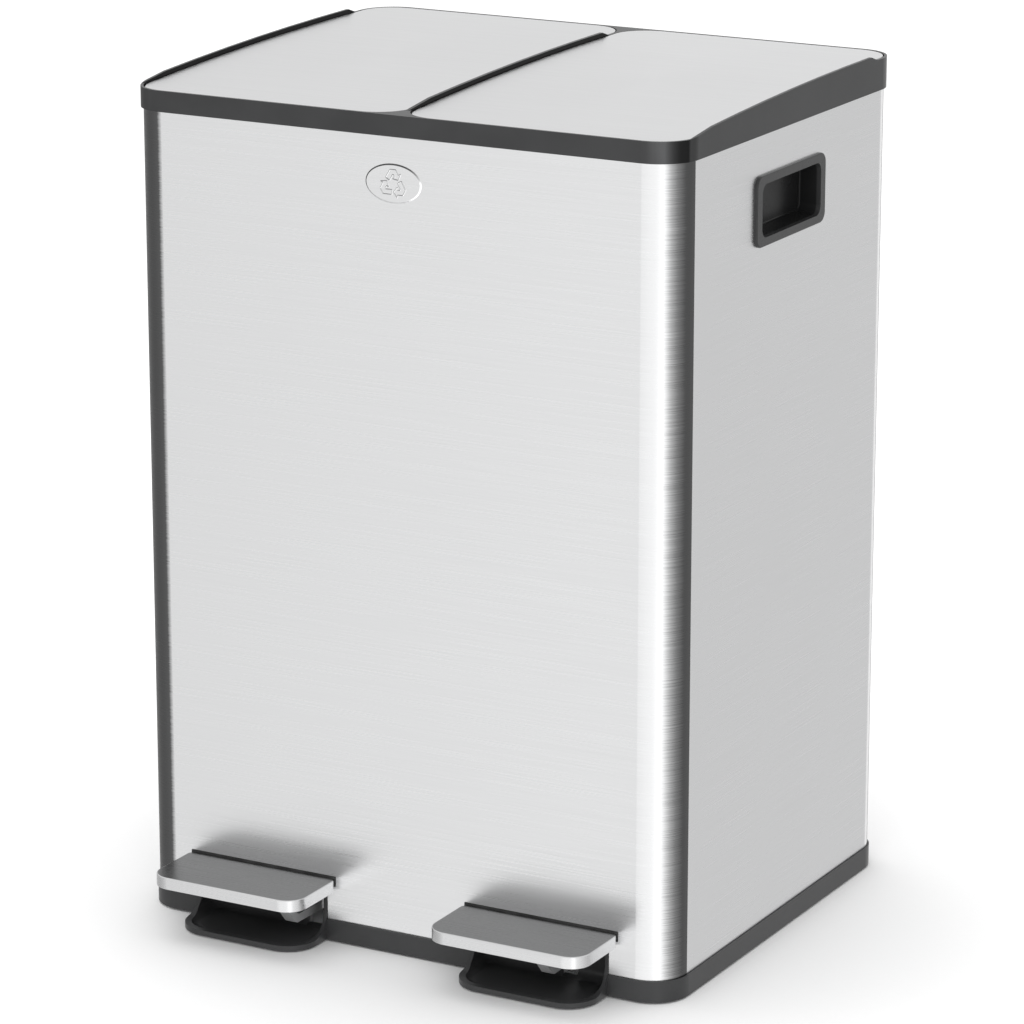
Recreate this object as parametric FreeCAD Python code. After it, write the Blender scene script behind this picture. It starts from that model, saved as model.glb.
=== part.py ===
import FreeCAD, Part
import math
import os

# Double pedal bin for sorting waste: a brushed steel body, two lids worked by two
# pedals, two lift-out buckets. Millimetres. +Z up, the front looks along -Y, "left"
# is -X, "right" is +X. Sizes here count from the middle of the body on the floor;
# save() moves each piece so that the origin is the middle of the whole footprint.

Vec = FreeCAD.Vector
AXIS_X = Vec(1, 0, 0)
AXIS_Y = Vec(0, 1, 0)
AXIS_Z = Vec(0, 0, 1)

# ---------------------------------------------------------------- driving sizes
GAP = 0.3                      # clearance between pieces that only lie near each other
RUN = 0.05                     # radial clearance of a pin in its bore
PIERCE = 5.0                   # how far a cutting tool reaches through a wall

# steel body
BODY_WIDTH = 444.0
BODY_DEPTH = 359.0
BODY_CORNER = 27.5
SHEET = 0.8
SEAM_WIDTH = 12.0              # lap seam down the middle of the back
SEAM_PROUD = 0.6
SHELL_BOTTOM = 9.3
SHELL_IN_COLLAR = 2.4          # the sheet stands this far into the collar's groove

# base moulding
BASE_OVERHANG = 1.5            # the band stands this far outside the steel
BASE_BOTTOM = 1.0
BAND_TOP = 17.0
GROOVE_FLOOR = 9.0
UPSTAND_WALL = 2.6
DECK_LEDGE = 5.0               # step inside the upstand that the deck lies on
DECK_LEDGE_THICK = 2.4
BOSS_WEB = 2.2                 # webs from the foot bosses to the walls
BOSS_WEB_RISE = 2.0            # their lower edge above the band's

# deck under the buckets
DECK_TOP = 52.5
DECK_THICK = 2.5
DECK_SLOT_AHEAD = 10.0         # the lever's slot starts this far ahead of the bucket's back
DECK_SLOT_BEHIND = 4.0         # and ends this far behind the lever
DECK_SLOT_ROOM = 2.5           # each side of the lever
DECK_RIB = 2.0
DECK_RIB_DEPTH = 6.0
DECK_RIBS_ALONG = 7
DECK_RIBS_ACROSS = 5
RIDGE_HEIGHT = 3.0             # low ridge that keeps each bucket in its place
RIDGE_WALL = 2.2
RIDGE_ROOM = 1.0               # round the bucket's foot

# rubber feet
FOOT_RADIUS = 9.0
FOOT_HEIGHT = 3.6
FOOT_INSET = 34.0              # from the body's sides to a foot's centre
FOOT_BOSS = 12.5
FOOT_CHAMFER = 0.6

# collar round the lids
CROWN_TOP = 637.9              # highest point of the side rails: the overall height
CROWN_AHEAD = 54.5             # that point lies this far ahead of the body's back
CROWN_RADIUS = 4410.0          # the long arc that the rails and lids follow
COLLAR_HEIGHT = 26.9           # from the crown down to the band's lower edge
COLLAR_OVERHANG = 2.0
LIP_DROP = 11.4                # front lip, below the crown
LIP_FLAT = 17.0                # the lip's flat reaches this far behind the steel's front
LIP_SLOPE = 50.0               # and rises into the rails by here
LEDGE_RISE = 5.0               # ledge that carries the lids, above the band's lower edge
LEDGE_THICK = 2.4
RIM_WALL = 2.2
RIB_WIDTH = 2.6
RAIL_END_AHEAD = 48.5          # the rails dip to the corner flats behind here
RAIL_DIP = 11.0
INNER_SKIRT_WALL = 2.0
INNER_SKIRT_DROP = 8.0         # below the band's lower edge
CENTRE_BEAM = 14.0             # bar between the two bucket openings
CENTRE_BEAM_BACK = 6.0         # width of its end, between the lids' back corners
BEAM_AHEAD = 4.0               # back of the cross beam, ahead of the hinge line
BEAM_DEPTH = 24.0
BEAM_FLANGE = 2.4

# lids
LID_STEP = 3.3                 # lid surface below the rails
LID_GAP = 0.7                  # round the lids, in plan
LID_CORNER = 26.5
LID_SKIRT = 6.5
LID_ROUND = 0.7                # round the lids' upper edge
LID_BACK_EASE = 0.4            # the back edge swings down: a little shorter than the front
FRAME_PLATE = 2.0
FRAME_WALL = 2.2
FRAME_RIB_DEPTH = 5.0
FRAME_RIB_WALL = 1.8
FRAME_RIBS_ALONG = 3
FRAME_RIBS_ACROSS = 4
FRAME_FIT = 0.15               # frame under the sheet
FRAME_LIGHT = 16.0             # the frame's skirt is cut back from here ahead of the hinge
FRAME_RIB_END = 26.0           # the ribs end this far ahead of the hinge
LID_OPEN = 78.0                # degrees

# hinges
HINGE_AHEAD = 29.5             # hinge line, ahead of the body's back
HINGE_DEPTH = 5.0              # below the lid's surface
HINGE_PIN = 2.0                # radius
HINGE_PIN_HEAD = 3.2
HINGE_PIN_SPARE = 1.0          # past the ears
HINGE_SIDE_GAP = 0.4
HINGE_SLOT_SPARE = 0.9         # slots in the frame round the ears
HINGE_INSET = 31.5             # from a lid's sides to the middle of each of its hinges
KNUCKLE_RADIUS = 3.7
KNUCKLE_LENGTH = 14.0
KNUCKLE_WEB = 8.0              # runs forward into the frame's plate
EAR_WALL = 3.0
EAR_RADIUS = 3.4
EAR_FOOT = 15.0                # ahead of the hinge line
EAR_FOOT_BACK = 4.5

# bumpers under the lids' front corners
BUMPER_RADIUS = 4.0
BUMPER_HEIGHT = 1.0
BUMPER_INSET = 30.0
BUMPER_FRONT = 2.0

# pedals
PEDAL_INSET = 104.5            # from the body's side to a pedal's middle
PEDAL_WIDTH = 127.0
PEDAL_BACK_GAP = 0.8           # in front of the steel
PEDAL_DEPTH = 57.8
PEDAL_TOP = 49.3
PEDAL_EDGE = 9.1
PEDAL_FRONT_CORNER = 15.6
PEDAL_BACK_CORNER = 5.0
PEDAL_ROUND = 0.9
PEDAL_SHEET = 1.0
CORE_FIT = 0.1                 # core under the sheet, and over the lever
CORE_RISE = 2.4                # core's underside above the sheet's edge
CORE_WALL = 3.0
CORE_POCKET = 3.5              # depth of the hollow under the core
CORE_SEAT = 26.0               # width of the solid pad over the lever

# levers under the deck
LEVER_LEFT_OFFSET = 36.0       # from the left pedal's middle, towards +X
LEVER_RIGHT_OFFSET = 16.5      # from the right pedal's middle, towards +X
LEVER_WIDTH = 9.0
LEVER_DEEP = 8.0
LEVER_SLIM = 6.0               # depth of the front arm
LEVER_TONGUE = 2.0             # depth of the flattened end under the pedal
LEVER_WALL = 1.2
LEVER_WEB = 1.38
LEVER_Z = 20.0
LEVER_NOSE = 6.1               # the arm ends this far behind the pedal's front edge
LEVER_SEAT = 14.0              # flat under the pedal
LEVER_CLIMB = 21.0             # run of the sloping arm
LEVER_SWELL = 46.0             # the bar deepens over this run behind the slope
LEVER_BEND_RADIUS = 5.0
BEND_SHIFT_UNDER = 2.0         # the underside bends this much earlier than the middle
BEND_SHIFT_OVER = 1.0          # and the upper side this much later
LEVER_REAR_SPARE = 8.5         # behind the rod
LEVER_SLOT_ROOM = 1.2          # round the lever, in the scoop's back wall
LEVER_SLOT_FLOOR = 0.2
PIVOT_BEHIND = 99.5            # lever's pivot, behind the steel's front
PIVOT_PIN = 2.5                # radius
PIVOT_HEAD = 4.1
PIVOT_HEAD_THICK = 1.6
PIVOT_TAIL = 1.5               # past the far ear
PIVOT_EAR_WALL = 3.0
PIVOT_EAR_HALF = 8.0
PIVOT_EAR_DROP = 5.0           # below the pivot's middle
PIVOT_SIDE_GAP = 0.6
SCREW_RADIUS = 1.5
SCREW_HEAD = 3.2
SCREW_HEAD_HEIGHT = 1.6
SCREW_PLAY = 0.1
SCREW_COVER = 2.4              # core left over the screw's tip

# lift rods at the back
CRANK = 19.0                   # from the hinge line to the lug that the rod pushes
LUG_RADIUS = 3.0
LUG_WIDTH = 8.0
LUG_FOOT = 9.5                 # the lug's foot on the frame, ahead of its middle
ROD_RADIUS = 2.5
ROD_AHEAD = 2.1                # the rod stands this far ahead of the lug at rest
ROD_PLAY = 0.6
ROD_FOOT_GAP = 0.4
HEAD_SIZE = 14.0
HEAD_HEIGHT = 12.0
HEAD_CORNER = 3.0
HEAD_CAP = 3.0                 # solid top of the head
HEAD_END_PLAY = 0.1
HEAD_ROOM = 2.0                # round the heads, in the cross beam
GUIDE_COUNT = 3
GUIDE_HEIGHT = 16.0
GUIDE_WIDTH = 20.0
GUIDE_FRONT = 7.0              # ahead of the rod's middle
GUIDE_BACK = 6.0               # eye's wall behind the rod's middle
GUIDE_CORNER = 6.0
GUIDE_BACK_ROUND = 1.0
GUIDE_WALL = 3.0
GUIDE_FLANGE = 2.5
GUIDE_PLAY = 0.08
GUIDE_LOWEST = 97.5            # above the deck
GUIDE_HIGHEST = 61.0           # below the collar

# scoops round the pedals
SCOOP_HALF = 55.4
SCOOP_TOP = 38.6
SCOOP_REACH = 39.9             # ahead of the steel
SCOOP_INSIDE = 19.5            # behind the steel's front
SCOOP_CORNER = 24.0
SCOOP_BACK_ROUND = 1.0
SCOOP_WALL = 2.4
SCOOP_LIP = 5.0
SCOOP_SWEEP = 19.0             # radius of the cheeks' hollow front edge
SCOOP_INNER_ROUND = 9.0
SCOOP_FLOOR_ROUND = 7.5
TONGUE_THICK = 2.2

# buckets
BUCKET_INNER_X = 10.0          # the two buckets stand this far off the middle
BUCKET_SIDE_ROOM = 18.5        # from the body's side to the rim
BUCKET_FRONT_ROOM = 14.5
BUCKET_MOUTH_ROOM = 4.0        # round the rims, in the collar's openings
BUCKET_DROP = 31.0             # rims below the collar's lower edge
BUCKET_WALL = 2.0
BUCKET_TAPER = 9.0
BUCKET_CORNER = 16.0
BUCKET_RIM = 7.0
BUCKET_RIM_THICK = 2.4
BUCKET_FLOOR = 2.5
BUCKET_FOOT_ROUND = 7.0
DRIP_HEIGHT = 7.0
DRIP_WALL = 1.8
BUCKET_LIFT = 10.0             # free lift under the closed lid

# bails
BAIL_RADIUS = 2.25
BAIL_BEND = 16.0
BAIL_INSET = 0.6               # wire inside the rim's edge
BAIL_KNOB = 1.8                # radius of the wire's turned-in ends
BAIL_KNOB_PAST = 1.0
GRIP_RADIUS = 5.0
GRIP_LENGTH = 92.0
GRIP_END_ROUND = 1.2
BAIL_LUG_WALL = 2.6
BAIL_LUG_LENGTH = 13.0
BAIL_LUG_ROOM = 0.8            # between the wire and the lug
BAIL_LUG_CROWN = 1.2           # lug above the wire

# carrying grips in the sides
GRIP_Y = -2.5
GRIP_DROP = 55.0               # middle of a grip below the collar's lower edge
GRIP_FLANGE = (113.0, 51.5)
GRIP_FLANGE_CORNER = 8.0
GRIP_FLANGE_THICK = 2.5
GRIP_FLANGE_ROUND = 0.9
GRIP_MOUTH = (96.5, 38.7)
GRIP_MOUTH_CORNER = 7.0
GRIP_DEPTH = 13.5
GRIP_WALL = 1.8
GRIP_DRAFT = 3.0
GRIP_FLOOR_ROUND = 1.2

# ------------------------------------------------------------- worked out sizes
half_w = BODY_WIDTH / 2
half_d = BODY_DEPTH / 2
front_y = -half_d
collar_bottom = CROWN_TOP - COLLAR_HEIGHT
front_lip = CROWN_TOP - LIP_DROP
crown_y = half_d - CROWN_AHEAD
rail_end = half_d - RAIL_END_AHEAD
ledge_top = collar_bottom + LEDGE_RISE
inner_skirt_bottom = collar_bottom - INNER_SKIRT_DROP
skirt_inset = SHEET + GAP + INNER_SKIRT_WALL
shell_top = collar_bottom + SHELL_IN_COLLAR
hinge_y = half_d - HINGE_AHEAD
beam_back = hinge_y - BEAM_AHEAD
beam_front = beam_back - BEAM_DEPTH
lid_inner = RIB_WIDTH / 2 + LID_GAP
lid_outer = half_w + COLLAR_OVERHANG - RIM_WALL - LID_GAP
lid_front = front_y - COLLAR_OVERHANG + RIM_WALL + LID_GAP
pocket_back = LID_GAP - lid_front
lid_back = -lid_front - LID_BACK_EASE
bucket_outer = half_w - BUCKET_SIDE_ROOM
bucket_front = front_y + BUCKET_FRONT_ROOM
bucket_back = beam_front - BUCKET_MOUTH_ROOM
bucket_top = collar_bottom - BUCKET_DROP
opening_front = bucket_front - BUCKET_MOUTH_ROOM
opening_inner = CENTRE_BEAM / 2
opening_outer = bucket_outer + BUCKET_MOUTH_ROOM
grip_z = collar_bottom - GRIP_DROP
pedal_centre = half_w - PEDAL_INSET
pedal_back = front_y - PEDAL_BACK_GAP
pedal_front = pedal_back - PEDAL_DEPTH
footprint_y = (pedal_front + half_d + COLLAR_OVERHANG) / 2
core_low = PEDAL_TOP - PEDAL_EDGE + CORE_RISE
lever_seat = core_low - CORE_FIT
lever_front = pedal_front + LEVER_NOSE
bend_high = lever_front + LEVER_SEAT
bend_low = bend_high + LEVER_CLIMB
pivot_y = front_y + PIVOT_BEHIND
scoop_front = front_y - SCOOP_REACH
scoop_back = front_y + SCOOP_INSIDE
deck_under = DECK_TOP - DECK_THICK
upstand_inset = SHEET + GAP + UPSTAND_WALL
guide_lowest = DECK_TOP + GUIDE_LOWEST
guide_highest = collar_bottom - GUIDE_HIGHEST
LEVER_X = {-1: -pedal_centre + LEVER_LEFT_OFFSET, 1: pedal_centre + LEVER_RIGHT_OFFSET}
NAMES = {-1: "left", 1: "right"}
SIDES = (-1, 1)


def crown(y, drop=0.0):
    """Height of the long arc at y, drop below the rails' arc."""
    radius = CROWN_RADIUS - drop
    centre = CROWN_TOP - CROWN_RADIUS
    return centre + math.sqrt(radius ** 2 - (y - crown_y) ** 2)


hinge_z = crown(hinge_y, LID_STEP) - HINGE_DEPTH
crank_angle = math.radians(LID_OPEN / 2)
lug_y = hinge_y - CRANK * math.cos(crank_angle)
lug_z = hinge_z - CRANK * math.sin(crank_angle)
rod_y = lug_y - ROD_AHEAD
rod_top = lug_z - LUG_RADIUS - ROD_PLAY


# --------------------------------------------------------------------- helpers
def rounded_wire(x0, x1, y0, y1, r, z, r_back=None):
    """Rounded rectangle at height z; r_back is the radius at the high-y corners."""
    rb = r if r_back is None else r_back
    points = [(x0 + r, y0), (x1 - r, y0), (x1, y0 + r), (x1, y1 - rb),
              (x1 - rb, y1), (x0 + rb, y1), (x0, y1 - rb), (x0, y0 + r)]
    p = [Vec(x, y, z) for x, y in points]
    half = math.sqrt(0.5)

    def corner(a, b, cx, cy, sx, sy, radius):
        middle = Vec(cx + sx * radius * half, cy + sy * radius * half, z)
        return Part.Arc(a, middle, b).toShape()

    edges = [Part.LineSegment(p[0], p[1]).toShape(),
             corner(p[1], p[2], x1 - r, y0 + r, 1, -1, r),
             Part.LineSegment(p[2], p[3]).toShape(),
             corner(p[3], p[4], x1 - rb, y1 - rb, 1, 1, rb),
             Part.LineSegment(p[4], p[5]).toShape(),
             corner(p[5], p[6], x0 + rb, y1 - rb, -1, 1, rb),
             Part.LineSegment(p[6], p[7]).toShape(),
             corner(p[7], p[0], x0 + r, y0 + r, -1, -1, r)]
    return Part.Wire(edges)


def rounded_prism(x0, x1, y0, y1, r, z0, z1, r_back=None):
    """Upright prism over a rounded rectangle."""
    face = Part.Face(rounded_wire(x0, x1, y0, y1, r, z0, r_back))
    return face.extrude(Vec(0, 0, z1 - z0))


def body_prism(offset, z0, z1):
    """Prism over the body's outline, grown by offset."""
    return rounded_prism(-half_w - offset, half_w + offset, -half_d - offset,
                         half_d + offset, BODY_CORNER + offset, z0, z1)


def block(x0, x1, y0, y1, z0, z1):
    """Plain box between two corners."""
    return Part.makeBox(x1 - x0, y1 - y0, z1 - z0, Vec(x0, y0, z0))


def rod_x(radius, x0, x1, y, z):
    """Cylinder along X."""
    return Part.makeCylinder(radius, x1 - x0, Vec(x0, y, z), AXIS_X)


def rod_z(radius, x, y, z0, z1):
    """Upright cylinder."""
    return Part.makeCylinder(radius, z1 - z0, Vec(x, y, z0), AXIS_Z)


def side_profile(edges, x0, x1):
    """Closed outline in the YZ plane, pushed from x0 to x1."""
    face = Part.Face(Part.Wire(edges))
    face.translate(Vec(x0, 0, 0))
    return face.extrude(Vec(x1 - x0, 0, 0))


def line(a, b):
    """Edge between two (y, z) points."""
    return Part.LineSegment(Vec(0, a[0], a[1]), Vec(0, b[0], b[1])).toShape()


def arc(a, middle, b):
    """Arc through three (y, z) points."""
    return Part.Arc(Vec(0, a[0], a[1]), Vec(0, middle[0], middle[1]), Vec(0, b[0], b[1])).toShape()


def polygon_x(points, x0, x1):
    """Polygon of (y, z) points, pushed from x0 to x1."""
    edges = [line(points[i], points[(i + 1) % len(points)]) for i in range(len(points))]
    return side_profile(edges, x0, x1)


def crown_arc(y0, y1, drop):
    """Edge of the long arc from y0 to y1."""
    middle = (y0 + y1) / 2
    return arc((y0, crown(y0, drop)), (middle, crown(middle, drop)), (y1, crown(y1, drop)))


def under_crown(y0, y1, drop, z_low, x0, x1):
    """Everything between z_low and the long arc."""
    edges = [line((y0, z_low), (y0, crown(y0, drop))), crown_arc(y0, y1, drop),
             line((y1, crown(y1, drop)), (y1, z_low)), line((y1, z_low), (y0, z_low))]
    return side_profile(edges, x0, x1)


def fuse(shapes):
    """One solid from many."""
    joined = shapes[0].multiFuse(shapes[1:]) if len(shapes) > 1 else shapes[0]
    return joined.removeSplitter()


def fillet_edges(shape, radius, wanted):
    """Round each edge that wanted(edge) picks."""
    edges = [e for e in shape.Edges if wanted(e)]
    return shape.makeFillet(radius, edges) if edges else shape


def save(name, shape):
    """Write one node, counted from the middle of the whole footprint."""
    os.makedirs("parts", exist_ok=True)
    placed = shape.copy()
    placed.translate(Vec(0, -footprint_y, 0))
    placed.exportStep("parts/%s.step" % name)


def lid_span(side):
    """Low and high x of a lid."""
    return (lid_inner, lid_outer) if side > 0 else (-lid_outer, -lid_inner)


def span(side, near, far):
    """Low and high x of something between two distances from the middle."""
    return (near, far) if side > 0 else (-far, -near)


# ------------------------------------------------------------------ steel body
def make_shell():
    outer = body_prism(0, SHELL_BOTTOM, shell_top)
    inner = body_prism(-SHEET, SHELL_BOTTOM - 1, shell_top + 1)
    seam = block(-SEAM_WIDTH / 2, SEAM_WIDTH / 2, half_d - SHEET / 2, half_d + SEAM_PROUD,
                 BAND_TOP + GAP, collar_bottom - GAP)
    shell = outer.cut(inner).fuse(seam)
    for side in SIDES:
        centre = side * pedal_centre
        mouth = block(centre - SCOOP_HALF - GAP, centre + SCOOP_HALF + GAP, front_y - PIERCE,
                      front_y + PIERCE, SHELL_BOTTOM - 1, SCOOP_TOP + GAP)
        shell = shell.cut(mouth)
        shell = shell.cut(grip_prism(side, GRIP_MOUTH[0] + 2 * (GRIP_WALL + GAP),
                                     GRIP_MOUTH[1] + 2 * (GRIP_WALL + GAP),
                                     GRIP_MOUTH_CORNER + GRIP_WALL, half_w - PIERCE, half_w + PIERCE))
    return shell.removeSplitter()


# ---------------------------------------------------------------- base moulding
def scoop_profile(inset, x0, x1):
    """Side view of a scoop: low lip in front, hollow sweep, upright cheek."""
    front = scoop_front + inset
    upright = front_y - BASE_OVERHANG / 2
    start = upright - SCOOP_SWEEP
    middle = SCOOP_LIP + SCOOP_SWEEP * (1 - math.sqrt(0.5))
    edges = [line((scoop_back - inset, BASE_BOTTOM), (front, BASE_BOTTOM)),
             line((front, BASE_BOTTOM), (front, SCOOP_LIP)),
             line((front, SCOOP_LIP), (start, SCOOP_LIP)),
             arc((start, SCOOP_LIP), (start + SCOOP_SWEEP * math.sqrt(0.5), middle),
                 (upright, SCOOP_LIP + SCOOP_SWEEP)),
             line((upright, SCOOP_LIP + SCOOP_SWEEP), (upright, SCOOP_TOP)),
             line((upright, SCOOP_TOP), (scoop_back - inset, SCOOP_TOP)),
             line((scoop_back - inset, SCOOP_TOP), (scoop_back - inset, BASE_BOTTOM))]
    return side_profile(edges, x0, x1)


def scoop_solid(centre):
    """Outside of one scoop."""
    x0 = centre - SCOOP_HALF
    x1 = centre + SCOOP_HALF
    plan = rounded_prism(x0, x1, scoop_front, scoop_back, SCOOP_CORNER, BASE_BOTTOM, SCOOP_TOP,
                         SCOOP_BACK_ROUND)
    return plan.common(scoop_profile(0, x0, x1))


def scoop_hollow(centre):
    """Inside of one scoop, open upwards in front and closed by a back wall."""
    x0 = centre - SCOOP_HALF + SCOOP_WALL
    x1 = centre + SCOOP_HALF - SCOOP_WALL
    hollow = rounded_prism(x0, x1, scoop_front + SCOOP_WALL, scoop_back - SCOOP_WALL,
                           SCOOP_CORNER - SCOOP_WALL, BASE_BOTTOM + TONGUE_THICK,
                           SCOOP_TOP - SCOOP_WALL, SCOOP_INNER_ROUND)
    floor = BASE_BOTTOM + TONGUE_THICK

    def low(edge):
        return abs(edge.BoundBox.ZMin - floor) < 0.01 and abs(edge.BoundBox.ZMax - floor) < 0.01

    return fillet_edges(hollow, SCOOP_FLOOR_ROUND, low)


def foot_places():
    """Middles of the four feet."""
    return [(sx * (half_w - FOOT_INSET), sy * (half_d - FOOT_INSET)) for sx in SIDES for sy in SIDES]


def make_base():
    band = body_prism(BASE_OVERHANG, BASE_BOTTOM, BAND_TOP)
    groove_out = body_prism(GAP, GROOVE_FLOOR, BAND_TOP + 1)
    core = body_prism(-SHEET - GAP, BASE_BOTTOM - 1, DECK_TOP + 1)
    ring = band.cut(groove_out.cut(core))
    upstand = body_prism(-SHEET - GAP, BASE_BOTTOM, DECK_TOP)
    wall = ring.fuse(upstand).cut(body_prism(-upstand_inset, BASE_BOTTOM - 1, DECK_TOP + 1))
    ledge = body_prism(UPSTAND_WALL / 2 - upstand_inset, deck_under - DECK_LEDGE_THICK, deck_under)
    ledge = ledge.cut(body_prism(-upstand_inset - DECK_LEDGE, BASE_BOTTOM, DECK_TOP))
    adds = [ledge]
    cuts = []
    for side in SIDES:
        centre = side * pedal_centre
        adds.append(scoop_solid(centre))
        cuts.append(scoop_hollow(centre))
        half = LEVER_WIDTH / 2 + LEVER_SLOT_ROOM
        x = LEVER_X[side]
        cuts.append(block(x - half, x + half, scoop_back - SCOOP_WALL - SCOOP_FLOOR_ROUND, scoop_back + 1,
                          BASE_BOTTOM + TONGUE_THICK + LEVER_SLOT_FLOOR, LEVER_Z + LEVER_DEEP))
    for x, y in foot_places():
        adds.append(rod_z(FOOT_BOSS, x, y, BASE_BOTTOM, deck_under))
        adds.append(boss_webs(x, y))
        cuts.append(rod_z(FOOT_RADIUS + GAP, x, y, BASE_BOTTOM - 1, FOOT_HEIGHT + GAP))
    return fuse([wall] + adds).cut(Part.makeCompound(cuts)).removeSplitter()


def boss_webs(x, y):
    """Two upright webs from a foot boss to the walls at its corner."""
    low = BASE_BOTTOM + BOSS_WEB_RISE
    reach = half_w - upstand_inset + UPSTAND_WALL / 2
    x0, x1 = sorted((x, math.copysign(reach, x)))
    across = block(x0, x1, y - BOSS_WEB / 2, y + BOSS_WEB / 2, low, deck_under)
    reach = half_d - upstand_inset + UPSTAND_WALL / 2
    y0, y1 = sorted((y, math.copysign(reach, y)))
    return across.fuse(block(x - BOSS_WEB / 2, x + BOSS_WEB / 2, y0, y1, low, deck_under))


# ----------------------------------------------------------------------- deck
def make_deck():
    adds = [body_prism(-upstand_inset - GAP, deck_under, DECK_TOP), deck_ribs()]
    cuts = []
    for side in SIDES:
        x = LEVER_X[side]
        half = LEVER_WIDTH / 2 + DECK_SLOT_ROOM
        cuts.append(block(x - half, x + half, bucket_back - DECK_SLOT_AHEAD,
                          rod_y + LEVER_REAR_SPARE + DECK_SLOT_BEHIND, LEVER_Z, DECK_TOP + 1))
        near = LEVER_WIDTH / 2 + PIVOT_SIDE_GAP
        far = near + PIVOT_EAR_WALL
        for way in SIDES:
            x0, x1 = sorted((x + way * near, x + way * far))
            adds.append(pivot_ear(x0, x1))
        cuts.append(rod_x(PIVOT_PIN + RUN, x - far - 1, x + far + 1, pivot_y, LEVER_Z))
        seat = foot_prism(bucket_foot(side, RIDGE_ROOM), deck_under, DECK_TOP + RIDGE_HEIGHT + 1)
        ridge = foot_prism(bucket_foot(side, RIDGE_ROOM + RIDGE_WALL), DECK_TOP - DECK_THICK / 2,
                           DECK_TOP + RIDGE_HEIGHT)
        adds.append(ridge.cut(seat))
    return fuse(adds).cut(Part.makeCompound(cuts)).removeSplitter()


def pivot_ear(x0, x1):
    """Ear under the deck that carries a lever's pivot pin."""
    high = deck_under + DECK_THICK / 2
    low = LEVER_Z - PIVOT_EAR_DROP
    return polygon_x([(pivot_y - 2 * PIVOT_EAR_HALF, high), (pivot_y - PIVOT_EAR_HALF, low),
                      (pivot_y + PIVOT_EAR_HALF, low), (pivot_y + 2 * PIVOT_EAR_HALF, high)], x0, x1)


def deck_ribs():
    """Grid of shallow ribs under the deck, open over the levers and the foot bosses."""
    inset = upstand_inset + DECK_LEDGE + GAP
    reach_x = half_w - inset
    reach_y = half_d - inset
    low = deck_under - DECK_RIB_DEPTH
    high = deck_under + DECK_THICK / 2
    half = DECK_RIB / 2
    ribs = []
    for i in range(DECK_RIBS_ALONG):
        x = reach_x * (2 * (i + 1) / (DECK_RIBS_ALONG + 1) - 1)
        ribs.append(block(x - half, x + half, -reach_y, reach_y, low, high))
    for i in range(DECK_RIBS_ACROSS):
        y = reach_y * (2 * (i + 1) / (DECK_RIBS_ACROSS + 1) - 1)
        ribs.append(block(-reach_x, reach_x, y - half, y + half, low, high))
    rooms = []
    for side in SIDES:
        room = LEVER_WIDTH / 2 + DECK_SLOT_ROOM
        x = LEVER_X[side]
        rooms.append(block(x - room, x + room, -half_d, half_d, low - 1, deck_under))
    for x, y in foot_places():
        rooms.append(rod_z(FOOT_BOSS + GAP, x, y, low - 1, deck_under))
    return fuse(ribs).cut(Part.makeCompound(rooms))


def bucket_foot(side, grow):
    """Outline of a bucket's foot, grown by grow."""
    x0, x1 = span(side, BUCKET_INNER_X + BUCKET_RIM + BUCKET_TAPER,
                  bucket_outer - BUCKET_RIM - BUCKET_TAPER)
    y0 = bucket_front + BUCKET_RIM + BUCKET_TAPER
    y1 = bucket_back - BUCKET_RIM - BUCKET_TAPER
    return (x0 - grow, x1 + grow, y0 - grow, y1 + grow, BUCKET_CORNER - BUCKET_RIM + grow)


def foot_prism(outline, z0, z1):
    """Prism over an outline of bucket_foot."""
    x0, x1, y0, y1, r = outline
    return rounded_prism(x0, x1, y0, y1, r, z0, z1)


def make_feet():
    feet = []
    for sx in SIDES:
        for sy in SIDES:
            foot = rod_z(FOOT_RADIUS, sx * (half_w - FOOT_INSET), sy * (half_d - FOOT_INSET), 0,
                         FOOT_HEIGHT)
            low = [e for e in foot.Edges if e.BoundBox.ZMax < 0.01]
            feet.append(foot.makeChamfer(FOOT_CHAMFER, low))
    return Part.makeCompound(feet)


# ---------------------------------------------------------------------- collar
def rail_profile(x0, x1):
    """Region above the rails: what the collar's blank loses everywhere."""
    flat = crown(half_d, LID_STEP)
    start = front_y + LIP_FLAT
    y0 = front_y - COLLAR_OVERHANG - 1
    y1 = half_d + COLLAR_OVERHANG + 1
    end = (rail_end, crown(rail_end))
    dip = (rail_end + RAIL_DIP, flat)
    top = CROWN_TOP + 20
    edges = [line((y0, top), (y0, front_lip)),
             line((y0, front_lip), (start, front_lip)),
             line((start, front_lip), (front_y + LIP_SLOPE, crown(front_y + LIP_SLOPE))),
             crown_arc(front_y + LIP_SLOPE, rail_end, 0.0),
             line(end, dip), line(dip, (y1, flat)), line((y1, flat), (y1, top)),
             line((y1, top), (y0, top))]
    return side_profile(edges, x0, x1)


def flats_profile(x0, x1):
    """Region above the corner flats, between the rails."""
    y0 = front_y - COLLAR_OVERHANG - 1
    y1 = half_d + COLLAR_OVERHANG + 1
    meet = crown_y - math.sqrt((CROWN_RADIUS - LID_STEP) ** 2
                               - (front_lip - CROWN_TOP + CROWN_RADIUS) ** 2)
    top = CROWN_TOP + 20
    edges = [line((y0, top), (y0, front_lip)), line((y0, front_lip), (meet, front_lip)),
             crown_arc(meet, y1, LID_STEP), line((y1, crown(y1, LID_STEP)), (y1, top)),
             line((y1, top), (y0, top))]
    return side_profile(edges, x0, x1)


def hinge_stations(side):
    """Middles of a lid's two hinges."""
    x0, x1 = lid_span(side)
    return (x0 + HINGE_INSET, x1 - HINGE_INSET)


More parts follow.
